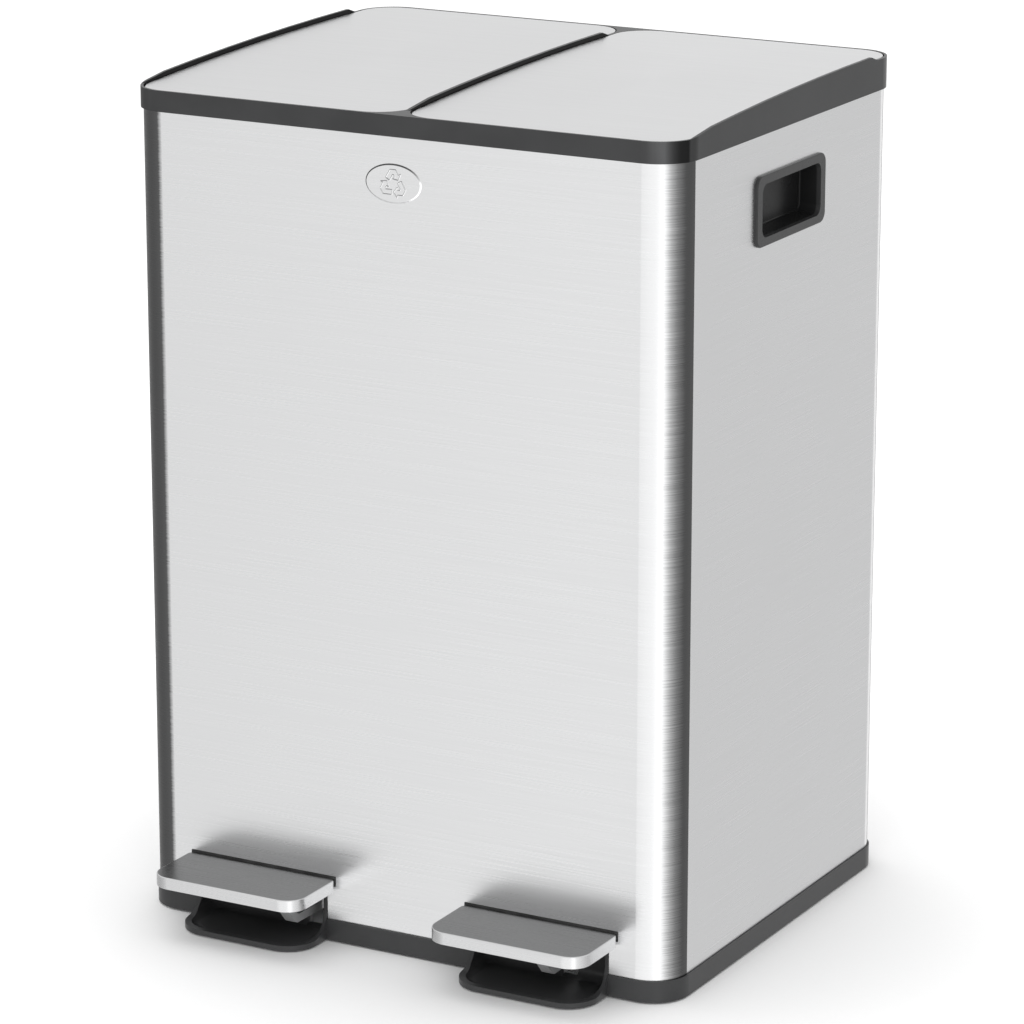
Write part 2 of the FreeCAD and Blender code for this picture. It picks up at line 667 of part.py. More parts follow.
def make_collar():
    blank = body_prism(COLLAR_OVERHANG, inner_skirt_bottom, CROWN_TOP + 5)
    outside = body_prism(COLLAR_OVERHANG + 5, inner_skirt_bottom - 1, collar_bottom)
    outside = outside.cut(body_prism(-SHEET - GAP, inner_skirt_bottom - 2, collar_bottom + 1))
    groove = body_prism(GAP, collar_bottom - 1, shell_top + GAP)
    groove = groove.cut(body_prism(-SHEET - GAP, collar_bottom - 2, shell_top + 2))
    edge = half_w + COLLAR_OVERHANG
    collar = blank.cut(rail_profile(-edge - 1, edge + 1))
    rail = RIM_WALL
    for side in SIDES:
        x0, x1 = span(side, RIB_WIDTH / 2, edge - rail)
        collar = collar.cut(flats_profile(x0, x1))
    cuts = [outside, groove]
    floor = ledge_top - LEDGE_THICK
    below = body_prism(-skirt_inset, inner_skirt_bottom - 1, floor)
    for half, y1 in ((CENTRE_BEAM / 2, beam_back), (CENTRE_BEAM_BACK / 2, half_d)):
        below = below.cut(block(-half, half, -half_d, y1, inner_skirt_bottom, ledge_top))
    for y in (beam_front, beam_back - BEAM_FLANGE):
        below = below.cut(block(-half_w, half_w, y, y + BEAM_FLANGE, inner_skirt_bottom, ledge_top))
    cuts.append(below)
    for side in SIDES:
        x0, x1 = lid_span(side)
        cuts.append(rounded_prism(x0 - LID_GAP, x1 + LID_GAP, lid_front - LID_GAP, pocket_back,
                                  LID_CORNER + LID_GAP, ledge_top, CROWN_TOP + 10))
        x0, x1 = span(side, opening_inner, opening_outer)
        cuts.append(rounded_prism(x0, x1, opening_front, beam_front, BUCKET_CORNER,
                                  inner_skirt_bottom - 2, ledge_top + 1))
        x0, x1 = span(side, CENTRE_BEAM_BACK / 2, half_w - skirt_inset)
        cuts.append(rounded_prism(x0, x1, beam_back, half_d - skirt_inset, BEAM_FLANGE,
                                  inner_skirt_bottom - 2, ledge_top + 1, BODY_CORNER - skirt_inset))
        cuts.append(head_slot(LEVER_X[side]))
    collar = collar.cut(Part.makeCompound(cuts))
    ears = []
    bores = []
    for side in SIDES:
        for x in hinge_stations(side):
            reach = hinge_reach()
            bores.append(rod_x(HINGE_PIN + RUN, x - reach - 1, x + reach + 1, hinge_y, hinge_z))
            for way in SIDES:
                x0, x1 = sorted((x + way * (reach - EAR_WALL), x + way * reach))
                ears.append(hinge_ear(x0, x1))
    return fuse([collar] + ears).cut(Part.makeCompound(bores)).removeSplitter()


def head_slot(x):
    """Slot in the cross beam for a rod's head."""
    half = HEAD_SIZE / 2 + HEAD_ROOM
    return block(x - half, x + half, beam_front + BEAM_FLANGE, rod_y + half,
                 ledge_top - LEDGE_THICK - 1, ledge_top + 1)


def hinge_reach():
    """From the middle of a hinge to the outside of its ears."""
    return KNUCKLE_LENGTH / 2 + HINGE_SIDE_GAP + EAR_WALL


def hinge_ear(x0, x1):
    """Ear that carries a hinge pin, leaning forward out of the lid's way."""
    y, z = hinge_y, hinge_z
    low = ledge_top - 0.5
    body = polygon_x([(y - EAR_RADIUS, z), (y + EAR_RADIUS, z), (y - EAR_FOOT_BACK, low),
                      (y - EAR_FOOT, low)], x0, x1)
    return body.fuse(rod_x(EAR_RADIUS, x0, x1, y, z)).removeSplitter()


def make_bumpers():
    pads = []
    for side in SIDES:
        x0, x1 = lid_span(side)
        for x in (x0 + BUMPER_INSET, x1 - BUMPER_INSET):
            pads.append(rod_z(BUMPER_RADIUS, x, lid_front + BUMPER_RADIUS + BUMPER_FRONT, ledge_top,
                              ledge_top + BUMPER_HEIGHT))
    return Part.makeCompound(pads)


# ------------------------------------------------------------------------ lids
def lid_blank(side, inset, drop, z_low):
    """Space under the lid's surface, drawn in by inset and lowered by drop."""
    x0, x1 = lid_span(side)
    plan = rounded_prism(x0 + inset, x1 - inset, lid_front + inset, lid_back - inset,
                         LID_CORNER - inset, z_low, CROWN_TOP + 5)
    return plan.common(under_crown(lid_front - 5, lid_back + 5, drop, z_low - 1, x0 - 5, x1 + 5))


def make_lid_panel(side):
    x0, x1 = lid_span(side)
    low = ledge_top - 1
    skin = lid_blank(side, 0.0, LID_STEP, low)
    inside = lid_blank(side, SHEET, LID_STEP + SHEET, low - 1)
    skirt_end = under_crown(lid_front - 5, lid_back + 5, LID_STEP + LID_SKIRT, low - 3, x0 - 5, x1 + 5)
    lowest_rim = crown(lid_front, LID_STEP)

    def rim(edge):
        return edge.BoundBox.ZMin > lowest_rim - 0.01

    return fillet_edges(skin, LID_ROUND, rim).cut(inside).cut(skirt_end).removeSplitter()


def frame_ribs(side, depth_drop, low):
    """Grid of ribs under the frame's plate."""
    x0, x1 = lid_span(side)
    end = hinge_y - FRAME_RIB_END
    ribs = []
    for i in range(FRAME_RIBS_ALONG):
        x = x0 + (x1 - x0) * (i + 1) / (FRAME_RIBS_ALONG + 1)
        ribs.append(block(x - FRAME_RIB_WALL / 2, x + FRAME_RIB_WALL / 2, lid_front, end,
                          low, CROWN_TOP))
    for i in range(FRAME_RIBS_ACROSS):
        y = lid_front + (end - lid_front) * (i + 1) / FRAME_RIBS_ACROSS
        ribs.append(block(x0, x1, y - FRAME_RIB_WALL, y, low, CROWN_TOP))
    return fuse(ribs).cut(under_crown(lid_front - 5, lid_back, depth_drop, low - 1, x0 - 5, x1 + 5))


def make_lid_frame(side):
    inset = SHEET + FRAME_FIT
    drop = LID_STEP + inset
    low = ledge_top + BUMPER_HEIGHT + GAP
    x0, x1 = lid_span(side)
    frame = lid_blank(side, inset, drop, low)
    frame = frame.cut(lid_blank(side, inset + FRAME_WALL, drop + FRAME_PLATE, low - 1))
    light = under_crown(hinge_y - FRAME_LIGHT, lid_back + 5, LID_STEP + LID_SKIRT, low - 3,
                        x0 - 5, x1 + 5)
    ribs = frame_ribs(side, drop + FRAME_PLATE + FRAME_RIB_DEPTH, low - 1)
    half_wall = FRAME_WALL / 2
    ribs = ribs.common(lid_blank(side, inset + half_wall, drop + half_wall, low - 2))
    parts = [frame.cut(light), ribs, lid_lug(LEVER_X[side], drop)]
    slots = []
    for x in hinge_stations(side):
        xa = x - KNUCKLE_LENGTH / 2
        xb = x + KNUCKLE_LENGTH / 2
        parts.append(rod_x(KNUCKLE_RADIUS, xa, xb, hinge_y, hinge_z))
        parts.append(block(xa, xb, hinge_y - KNUCKLE_RADIUS - KNUCKLE_WEB, hinge_y, hinge_z,
                           crown(hinge_y, drop + half_wall)))
        far = hinge_reach() + HINGE_PIN_SPARE + HINGE_SLOT_SPARE
        reach = EAR_RADIUS + HINGE_SLOT_SPARE + GAP
        for a, b in ((x - far, xa), (xb, x + far)):
            slots.append(block(a, b, hinge_y - reach, hinge_y + reach, low, CROWN_TOP))
        slots.append(rod_x(HINGE_PIN + RUN, xa - 1, xb + 1, hinge_y, hinge_z))
    return fuse(parts).cut(Part.makeCompound(slots)).removeSplitter()


def lid_lug(x, drop):
    """Lug under the back of a lid, which the rod pushes up."""
    plate = crown(hinge_y, drop + FRAME_PLATE / 2)
    x0 = x - LUG_WIDTH / 2
    x1 = x + LUG_WIDTH / 2
    web = polygon_x([(lug_y - LUG_RADIUS, lug_z), (lug_y + LUG_RADIUS, lug_z),
                     (lug_y + LUG_RADIUS, plate), (lug_y - LUG_FOOT, plate)], x0, x1)
    return web.fuse(rod_x(LUG_RADIUS, x0, x1, lug_y, lug_z)).removeSplitter()


def make_hinge_pins(side):
    pins = []
    for x in hinge_stations(side):
        reach = hinge_reach()
        end = x + reach + HINGE_PIN_SPARE
        pin = rod_x(HINGE_PIN, x - reach - HINGE_PIN_SPARE, end, hinge_y, hinge_z)
        head = rod_x(HINGE_PIN_HEAD, x + reach + GAP, end, hinge_y, hinge_z)
        pins.append(pin.fuse(head).removeSplitter())
    return Part.makeCompound(pins)


# --------------------------------------------------------------- pedals, levers
def pedal_prism(side, inset, z0, z1):
    """Prism over a pedal's outline, drawn in by inset."""
    centre = side * pedal_centre
    return rounded_prism(centre - PEDAL_WIDTH / 2 + inset, centre + PEDAL_WIDTH / 2 - inset,
                         pedal_front + inset, pedal_back - inset, PEDAL_FRONT_CORNER - inset,
                         z0, z1, PEDAL_BACK_CORNER - inset)


def make_pedal_plate(side):
    cap = pedal_prism(side, 0, PEDAL_TOP - PEDAL_EDGE, PEDAL_TOP)
    cap = fillet_edges(cap, PEDAL_ROUND, lambda e: e.BoundBox.ZMin > PEDAL_TOP - 0.01)
    return cap.cut(pedal_prism(side, PEDAL_SHEET, PEDAL_TOP - PEDAL_EDGE - 1, PEDAL_TOP - PEDAL_SHEET))


def make_pedal_core(side):
    core = pedal_prism(side, PEDAL_SHEET + CORE_FIT, core_low, PEDAL_TOP - PEDAL_SHEET - CORE_FIT)
    pocket = pedal_prism(side, PEDAL_SHEET + CORE_WALL, core_low - 1, core_low + CORE_POCKET)
    x = LEVER_X[side]
    seat = block(x - CORE_SEAT / 2, x + CORE_SEAT / 2, pedal_front, pedal_back, core_low - 1,
                 core_low + CORE_POCKET + 1)
    hole = rod_z(SCREW_RADIUS + RUN, x, screw_y(), core_low - 1, screw_tip() + GAP)
    return core.cut(pocket.cut(seat)).cut(hole).removeSplitter()


def screw_y():
    """Where the screw joins lever and pedal."""
    return (lever_front + bend_high) / 2


def screw_tip():
    """Height of the screw's tip, inside the core."""
    return PEDAL_TOP - PEDAL_SHEET - SCREW_COVER


def lever_low():
    """Underside of the lever, front to back."""
    deep = LEVER_Z - LEVER_DEEP / 2
    slim = LEVER_Z - LEVER_SLIM / 2
    rear = rod_y + LEVER_REAR_SPARE
    flat = lever_seat - LEVER_TONGUE
    return [(lever_front, flat), (bend_high - BEND_SHIFT_UNDER, flat),
            (bend_low - BEND_SHIFT_UNDER, slim), (bend_low + LEVER_SWELL, deep), (rear, deep)]


def lever_high():
    """Upper side of the lever, front to back."""
    high = LEVER_Z + LEVER_DEEP / 2
    slim = LEVER_Z + LEVER_SLIM / 2
    rear = rod_y + LEVER_REAR_SPARE
    return [(lever_front, lever_seat), (bend_high + BEND_SHIFT_OVER, lever_seat),
            (bend_low + BEND_SHIFT_OVER, slim), (bend_low + LEVER_SWELL, high), (rear, high)]


def make_lever(side):
    x = LEVER_X[side]
    low = lever_low()
    bar = polygon_x(low + lever_high()[::-1], x - LEVER_WIDTH / 2, x + LEVER_WIDTH / 2)
    bends = (bend_high - BEND_SHIFT_UNDER, bend_low - BEND_SHIFT_UNDER,
             bend_high + BEND_SHIFT_OVER, bend_low + BEND_SHIFT_OVER)

    def bend(edge):
        box = edge.BoundBox
        return box.XLength > LEVER_WIDTH - 0.1 and any(abs(box.YMin - y) < 0.01 for y in bends)

    bar = fillet_edges(bar, LEVER_BEND_RADIUS, bend)
    web = [(y, z + LEVER_WEB) for y, z in low]
    web[0] = (low[0][0] - 1, web[0][1])
    web[-1] = (low[-1][0] + 1, web[-1][1])
    roof = [(web[-1][0], DECK_TOP + LEVER_DEEP), (web[0][0], DECK_TOP + LEVER_DEEP)]
    inside = LEVER_WIDTH / 2 - LEVER_WALL
    bar = bar.cut(polygon_x(web + roof, x - inside, x + inside))
    bar = bar.cut(rod_x(PIVOT_PIN + RUN, x - LEVER_WIDTH, x + LEVER_WIDTH, pivot_y, LEVER_Z))
    hole = rod_z(SCREW_RADIUS + SCREW_PLAY, x, screw_y(), lever_seat - LEVER_TONGUE - 1, lever_seat + 1)
    return bar.cut(hole).removeSplitter()


def make_pedal_screw(side):
    x = LEVER_X[side]
    under = lever_seat - LEVER_TONGUE
    head = rod_z(SCREW_HEAD, x, screw_y(), under - SCREW_HEAD_HEIGHT, under)
    shank = rod_z(SCREW_RADIUS, x, screw_y(), under - SCREW_PLAY, screw_tip())
    return head.fuse(shank).removeSplitter()


def make_pivot_pin(side):
    x = LEVER_X[side]
    reach = LEVER_WIDTH / 2 + PIVOT_SIDE_GAP + PIVOT_EAR_WALL
    end = x + reach + GAP + PIVOT_HEAD_THICK
    pin = rod_x(PIVOT_PIN, x - reach - PIVOT_TAIL, end, pivot_y, LEVER_Z)
    head = rod_x(PIVOT_HEAD, x + reach + GAP, end, pivot_y, LEVER_Z)
    return pin.fuse(head).removeSplitter()


# ------------------------------------------------------------------- lift rods
def rod_foot_z():
    """Lowest point of a rod, just over the web of the lever's channel."""
    return LEVER_Z - LEVER_DEEP / 2 + LEVER_WEB + ROD_FOOT_GAP


def make_rod(side):
    x = LEVER_X[side]
    low = rod_foot_z() + ROD_RADIUS
    shaft = rod_z(ROD_RADIUS, x, rod_y, low, rod_top - HEAD_CAP)
    ball = Part.makeSphere(ROD_RADIUS, Vec(x, rod_y, low))
    return shaft.fuse(ball).removeSplitter()


def make_rod_head(side):
    x = LEVER_X[side]
    half = HEAD_SIZE / 2
    head = rounded_prism(x - half, x + half, rod_y - half, rod_y + half, HEAD_CORNER,
                         rod_top - HEAD_HEIGHT, rod_top)
    bore = rod_z(ROD_RADIUS + RUN, x, rod_y, rod_top - HEAD_HEIGHT - 1,
                 rod_top - HEAD_CAP + HEAD_END_PLAY)
    return head.cut(bore)


def make_rod_guides(side):
    x = LEVER_X[side]
    back = half_d - SHEET - GAP
    half = GUIDE_WIDTH / 2
    guides = []
    for i in range(GUIDE_COUNT):
        z = guide_lowest + (guide_highest - guide_lowest) * i / (GUIDE_COUNT - 1)
        arm = rounded_prism(x - half, x + half, rod_y - GUIDE_FRONT, back, GUIDE_CORNER, z,
                            z + GUIDE_HEIGHT, GUIDE_BACK_ROUND)
        waist = rounded_prism(x - half + GUIDE_WALL, x + half - GUIDE_WALL, rod_y + GUIDE_BACK,
                              back - GUIDE_FLANGE, GUIDE_FLANGE / 2, z - 1, z + GUIDE_HEIGHT - GUIDE_WALL)
        bore = rod_z(ROD_RADIUS + GUIDE_PLAY, x, rod_y, z - 1, z + GUIDE_HEIGHT + 1)
        guides.append(arm.cut(waist).cut(bore))
    return Part.makeCompound(guides)


# --------------------------------------------------------------------- buckets
def bucket_level(side, inset, z):
    """Outline of a bucket's wall at height z, drawn in by inset."""
    share = (bucket_top - z) / (bucket_top - DECK_TOP)
    grow = BUCKET_RIM + BUCKET_TAPER * share + inset
    x0, x1 = span(side, BUCKET_INNER_X + grow, bucket_outer - grow)
    return rounded_wire(x0, x1, bucket_front + grow, bucket_back - grow,
                        BUCKET_CORNER - BUCKET_RIM / 2 - inset, z)


def make_bucket(side):
    low = DECK_TOP + GAP
    outer = Part.makeLoft([bucket_level(side, 0, low), bucket_level(side, 0, bucket_top)], True, True)
    outer = fillet_edges(outer, BUCKET_FOOT_ROUND, lambda e: e.BoundBox.ZMax < low + 0.01)
    inner = Part.makeLoft([bucket_level(side, BUCKET_WALL, low + BUCKET_FLOOR),
                           bucket_level(side, BUCKET_WALL, bucket_top + 1.0)], True, True)
    inner = fillet_edges(inner, BUCKET_FOOT_ROUND - BUCKET_WALL,
                         lambda e: e.BoundBox.ZMax < low + BUCKET_FLOOR + 0.01)
    x0, x1 = span(side, BUCKET_INNER_X, bucket_outer)
    rim = rounded_prism(x0, x1, bucket_front, bucket_back, BUCKET_CORNER,
                        bucket_top - BUCKET_RIM_THICK, bucket_top)
    drip = rounded_prism(x0, x1, bucket_front, bucket_back, BUCKET_CORNER, bucket_top - DRIP_HEIGHT,
                         bucket_top)
    drip = drip.cut(rounded_prism(x0 + DRIP_WALL, x1 - DRIP_WALL, bucket_front + DRIP_WALL,
                                  bucket_back - DRIP_WALL, BUCKET_CORNER - DRIP_WALL,
                                  bucket_top - DRIP_HEIGHT - 1, bucket_top + 1))
    bucket = fuse([outer, rim, drip]).cut(inner)
    middle = bail_y()
    lugs = []
    for edge in (x0, x1):
        inward = 1 if edge == x0 else -1
        xa, xb = sorted((edge + inward * bail_lug_in(), edge + inward * (bail_lug_in() + BAIL_LUG_WALL)))
        top = bucket_top + GAP + 2 * BAIL_RADIUS + BAIL_LUG_CROWN
        lugs.append(block(xa, xb, middle - BAIL_LUG_LENGTH / 2, middle + BAIL_LUG_LENGTH / 2,
                          bucket_top - 1, top))
    bucket = fuse([bucket] + lugs)
    bore = rod_x(BAIL_KNOB + RUN, x0 - 1, x1 + 1, middle, bail_z())
    return bucket.cut(bore).removeSplitter()


def bail_y():
    """Hinge line of the bails: the middle of a bucket."""
    return (bucket_front + bucket_back) / 2


def bail_z():
    """Height of the bails' hinge line."""
    return bucket_top + GAP + BAIL_RADIUS


def bail_lug_in():
    """From the rim's edge to the lug: the wire lies outside it."""
    return BAIL_INSET + 2 * BAIL_RADIUS + BAIL_LUG_ROOM


def make_bail(side):
    """Wire bail that lies folded on the front half of the rim."""
    x0, x1 = span(side, BUCKET_INNER_X, bucket_outer)
    a = x0 + BAIL_INSET + BAIL_RADIUS
    b = x1 - BAIL_INSET - BAIL_RADIUS
    y0 = bucket_front + BAIL_INSET + BAIL_RADIUS
    y1 = bail_y()
    z = bail_z()
    r = BAIL_BEND
    h = r * math.sqrt(0.5)

    def p(x, y):
        return Vec(x, y, z)

    path = Part.Wire([
        Part.LineSegment(p(a, y1), p(a, y0 + r)).toShape(),
        Part.Arc(p(a, y0 + r), p(a + r - h, y0 + r - h), p(a + r, y0)).toShape(),
        Part.LineSegment(p(a + r, y0), p(b - r, y0)).toShape(),
        Part.Arc(p(b - r, y0), p(b - r + h, y0 + r - h), p(b, y0 + r)).toShape(),
        Part.LineSegment(p(b, y0 + r), p(b, y1)).toShape()])
    section = Part.Wire([Part.Circle(p(a, y1), AXIS_Y, BAIL_RADIUS).toShape()])
    wire = path.makePipeShell([section], True, False)
    pieces = [wire]
    for x, way in ((a, 1), (b, -1)):
        pieces.append(Part.makeSphere(BAIL_RADIUS, p(x, y1)))
        reach = bail_lug_in() + BAIL_LUG_WALL + BAIL_KNOB_PAST - BAIL_INSET - BAIL_RADIUS
        xa, xb = sorted((x, x + way * reach))
        pieces.append(rod_x(BAIL_KNOB, xa, xb, y1, z))
    return fuse(pieces)


def make_bail_grip(side):
    """Plastic sleeve on the bail's cross wire."""
    x0, x1 = span(side, BUCKET_INNER_X, bucket_outer)
    middle = (x0 + x1) / 2
    y = bucket_front + BAIL_INSET + BAIL_RADIUS
    z = bail_z()
    sleeve = rod_x(GRIP_RADIUS, middle - GRIP_LENGTH / 2, middle + GRIP_LENGTH / 2, y, z)
    flat = block(x0, x1, y - 2 * GRIP_RADIUS, y + 2 * GRIP_RADIUS, z - 2 * GRIP_RADIUS, bucket_top + GAP)
    ends = fillet_edges(sleeve, GRIP_END_ROUND, lambda e: e.BoundBox.XLength < 0.01)
    bore = rod_x(BAIL_RADIUS + RUN, x0, x1, y, z)
    return ends.cut(flat).cut(bore)


# ------------------------------------------------------------- carrying grips
def grip_prism(side, length, height, corner, x0, x1):
    """Sideways prism over a rounded rectangle in a side wall, x measured outwards."""
    shape = rounded_prism(-length / 2, length / 2, -height / 2, height / 2, corner, 0, x1 - x0)
    shape.rotate(Vec(0, 0, 0), AXIS_X, 90)
    shape.rotate(Vec(0, 0, 0), AXIS_Z, 90)
    shape.translate(Vec(x0, GRIP_Y, grip_z))
    if side < 0:
        shape = shape.mirror(Vec(0, 0, 0), AXIS_X)
    return shape


def grip_loft(side, grow, depth):
    """Tapered pocket of a grip, grown by grow and cut off at depth."""
    wires = []
    for x, shrink in ((half_w + GRIP_FLANGE_THICK, 0.0), (half_w - depth, GRIP_DRAFT)):
        length = GRIP_MOUTH[0] + 2 * grow - 2 * shrink
        height = GRIP_MOUTH[1] + 2 * grow - 2 * shrink
        wire = rounded_wire(-length / 2, length / 2, -height / 2, height / 2,
                            GRIP_MOUTH_CORNER + grow - shrink / 2, 0)
        wire.rotate(Vec(0, 0, 0), AXIS_X, 90)
        wire.rotate(Vec(0, 0, 0), AXIS_Z, 90)
        wire.translate(Vec(x, GRIP_Y, grip_z))
        wires.append(wire)
    shape = Part.makeLoft(wires, True, True)
    return shape.mirror(Vec(0, 0, 0), AXIS_X) if side < 0 else shape


def make_side_grip(side):
    flange = grip_prism(side, GRIP_FLANGE[0], GRIP_FLANGE[1], GRIP_FLANGE_CORNER, half_w,
                        half_w + GRIP_FLANGE_THICK)
    face = half_w + GRIP_FLANGE_THICK

    def outer_rim(edge):
        box = edge.BoundBox
        return min(abs(box.XMin), abs(box.XMax)) > face - 0.01

    flange = fillet_edges(flange, GRIP_FLANGE_ROUND, outer_rim)
    cup = grip_loft(side, GRIP_WALL - GRIP_DRAFT / 4, GRIP_DEPTH + GRIP_WALL)
    pocket = grip_loft(side, 0, GRIP_DEPTH)
    bottom = half_w - GRIP_DEPTH

    def bottom_rim(edge):
        box = edge.BoundBox
        return max(abs(box.XMin), abs(box.XMax)) < bottom + 0.01

    pocket = fillet_edges(pocket, GRIP_FLOOR_ROUND, bottom_rim)
    return flange.fuse(cup).cut(pocket).removeSplitter()


# ------------------------------------------------------------------ all pieces
def main():
    save("body_shell", make_shell())
    save("base_tray", make_base())
    save("bucket_deck", make_deck())
    save("rubber_feet", make_feet())
    save("top_collar", make_collar())
    save("lid_bumpers", make_bumpers())
    for side in SIDES:
        name = NAMES[side]
        save("lid_panel_" + name, make_lid_panel(side))
        save("lid_frame_" + name, make_lid_frame(side))
        save("hinge_pins_" + name, make_hinge_pins(side))
        save("pedal_plate_" + name, make_pedal_plate(side))
        save("pedal_core_" + name, make_pedal_core(side))
        save("pedal_screw_" + name, make_pedal_screw(side))
        save("lever_" + name, make_lever(side))
        save("pivot_pin_" + name, make_pivot_pin(side))
        save("lift_rod_" + name, make_rod(side))
        save("rod_head_" + name, make_rod_head(side))
        save("rod_guides_" + name, make_rod_guides(side))
        save("bucket_" + name, make_bucket(side))
        save("bail_" + name, make_bail(side))
        save("bail_grip_" + name, make_bail_grip(side))
        save("side_grip_" + name, make_side_grip(side))


main()
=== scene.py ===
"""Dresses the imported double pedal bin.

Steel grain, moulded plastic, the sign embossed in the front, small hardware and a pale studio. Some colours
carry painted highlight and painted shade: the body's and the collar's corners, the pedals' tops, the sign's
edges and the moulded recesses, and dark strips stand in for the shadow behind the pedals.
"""

import logging
import math
from dataclasses import dataclass, field
from enum import Enum

import bpy
import numpy as np
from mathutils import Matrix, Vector


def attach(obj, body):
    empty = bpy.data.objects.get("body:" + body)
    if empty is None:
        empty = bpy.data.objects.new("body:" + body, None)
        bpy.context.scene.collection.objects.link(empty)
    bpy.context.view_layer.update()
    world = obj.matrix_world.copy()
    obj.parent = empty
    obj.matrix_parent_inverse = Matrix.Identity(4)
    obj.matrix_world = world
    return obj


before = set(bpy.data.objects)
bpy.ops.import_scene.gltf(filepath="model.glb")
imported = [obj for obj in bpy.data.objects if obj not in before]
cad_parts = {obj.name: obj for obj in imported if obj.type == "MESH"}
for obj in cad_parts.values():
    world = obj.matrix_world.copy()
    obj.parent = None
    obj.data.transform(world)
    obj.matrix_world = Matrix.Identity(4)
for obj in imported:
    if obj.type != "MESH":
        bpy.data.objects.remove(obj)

LOG = logging.getLogger("pedal_bin")
MM = 0.001
BODY_Y = 28.3 * MM          # the body's middle, behind the middle of the whole footprint
HALF_WIDTH = 222.0 * MM
HALF_DEPTH = 179.5 * MM
BODY_CORNER = 27.5 * MM
FRONT_Y = BODY_Y - HALF_DEPTH
BACK_Y = BODY_Y + HALF_DEPTH
RIGHT_ANGLE = 90.0          # degrees
HALF_TURN = 180.0           # degrees
LEVEL = (0.9, 0.985)        # Z of the normal where a face starts and ends turning level
SIDEWAYS = (0.3, 0.8)       # |X| of the normal where a face starts and ends turning sideways
ROUND_POINTS = 5            # points over one rounded corner of a polygon
ROUND_SHARE = 0.4           # of a side, the most that one rounded corner takes


class Side(Enum):
    """The two halves of the bin, by the sign of X."""

    LEFT = -1
    RIGHT = 1

    @property
    def word(self) -> str:
        """The word that ends this half's node names."""
        return self.name.lower()


class Way(Enum):
    """Front and back of the bin, by the sign of Y."""

    FRONT = -1
    BACK = 1


class Grain(Enum):
    """Which way the brushing runs. Values scale X, Y and Z before the noise, in strokes per metre."""

    ROUND_THE_WALLS = (9.0, 9.0, 1700.0)
    SIDE_TO_SIDE = (9.0, 1700.0, 1700.0)


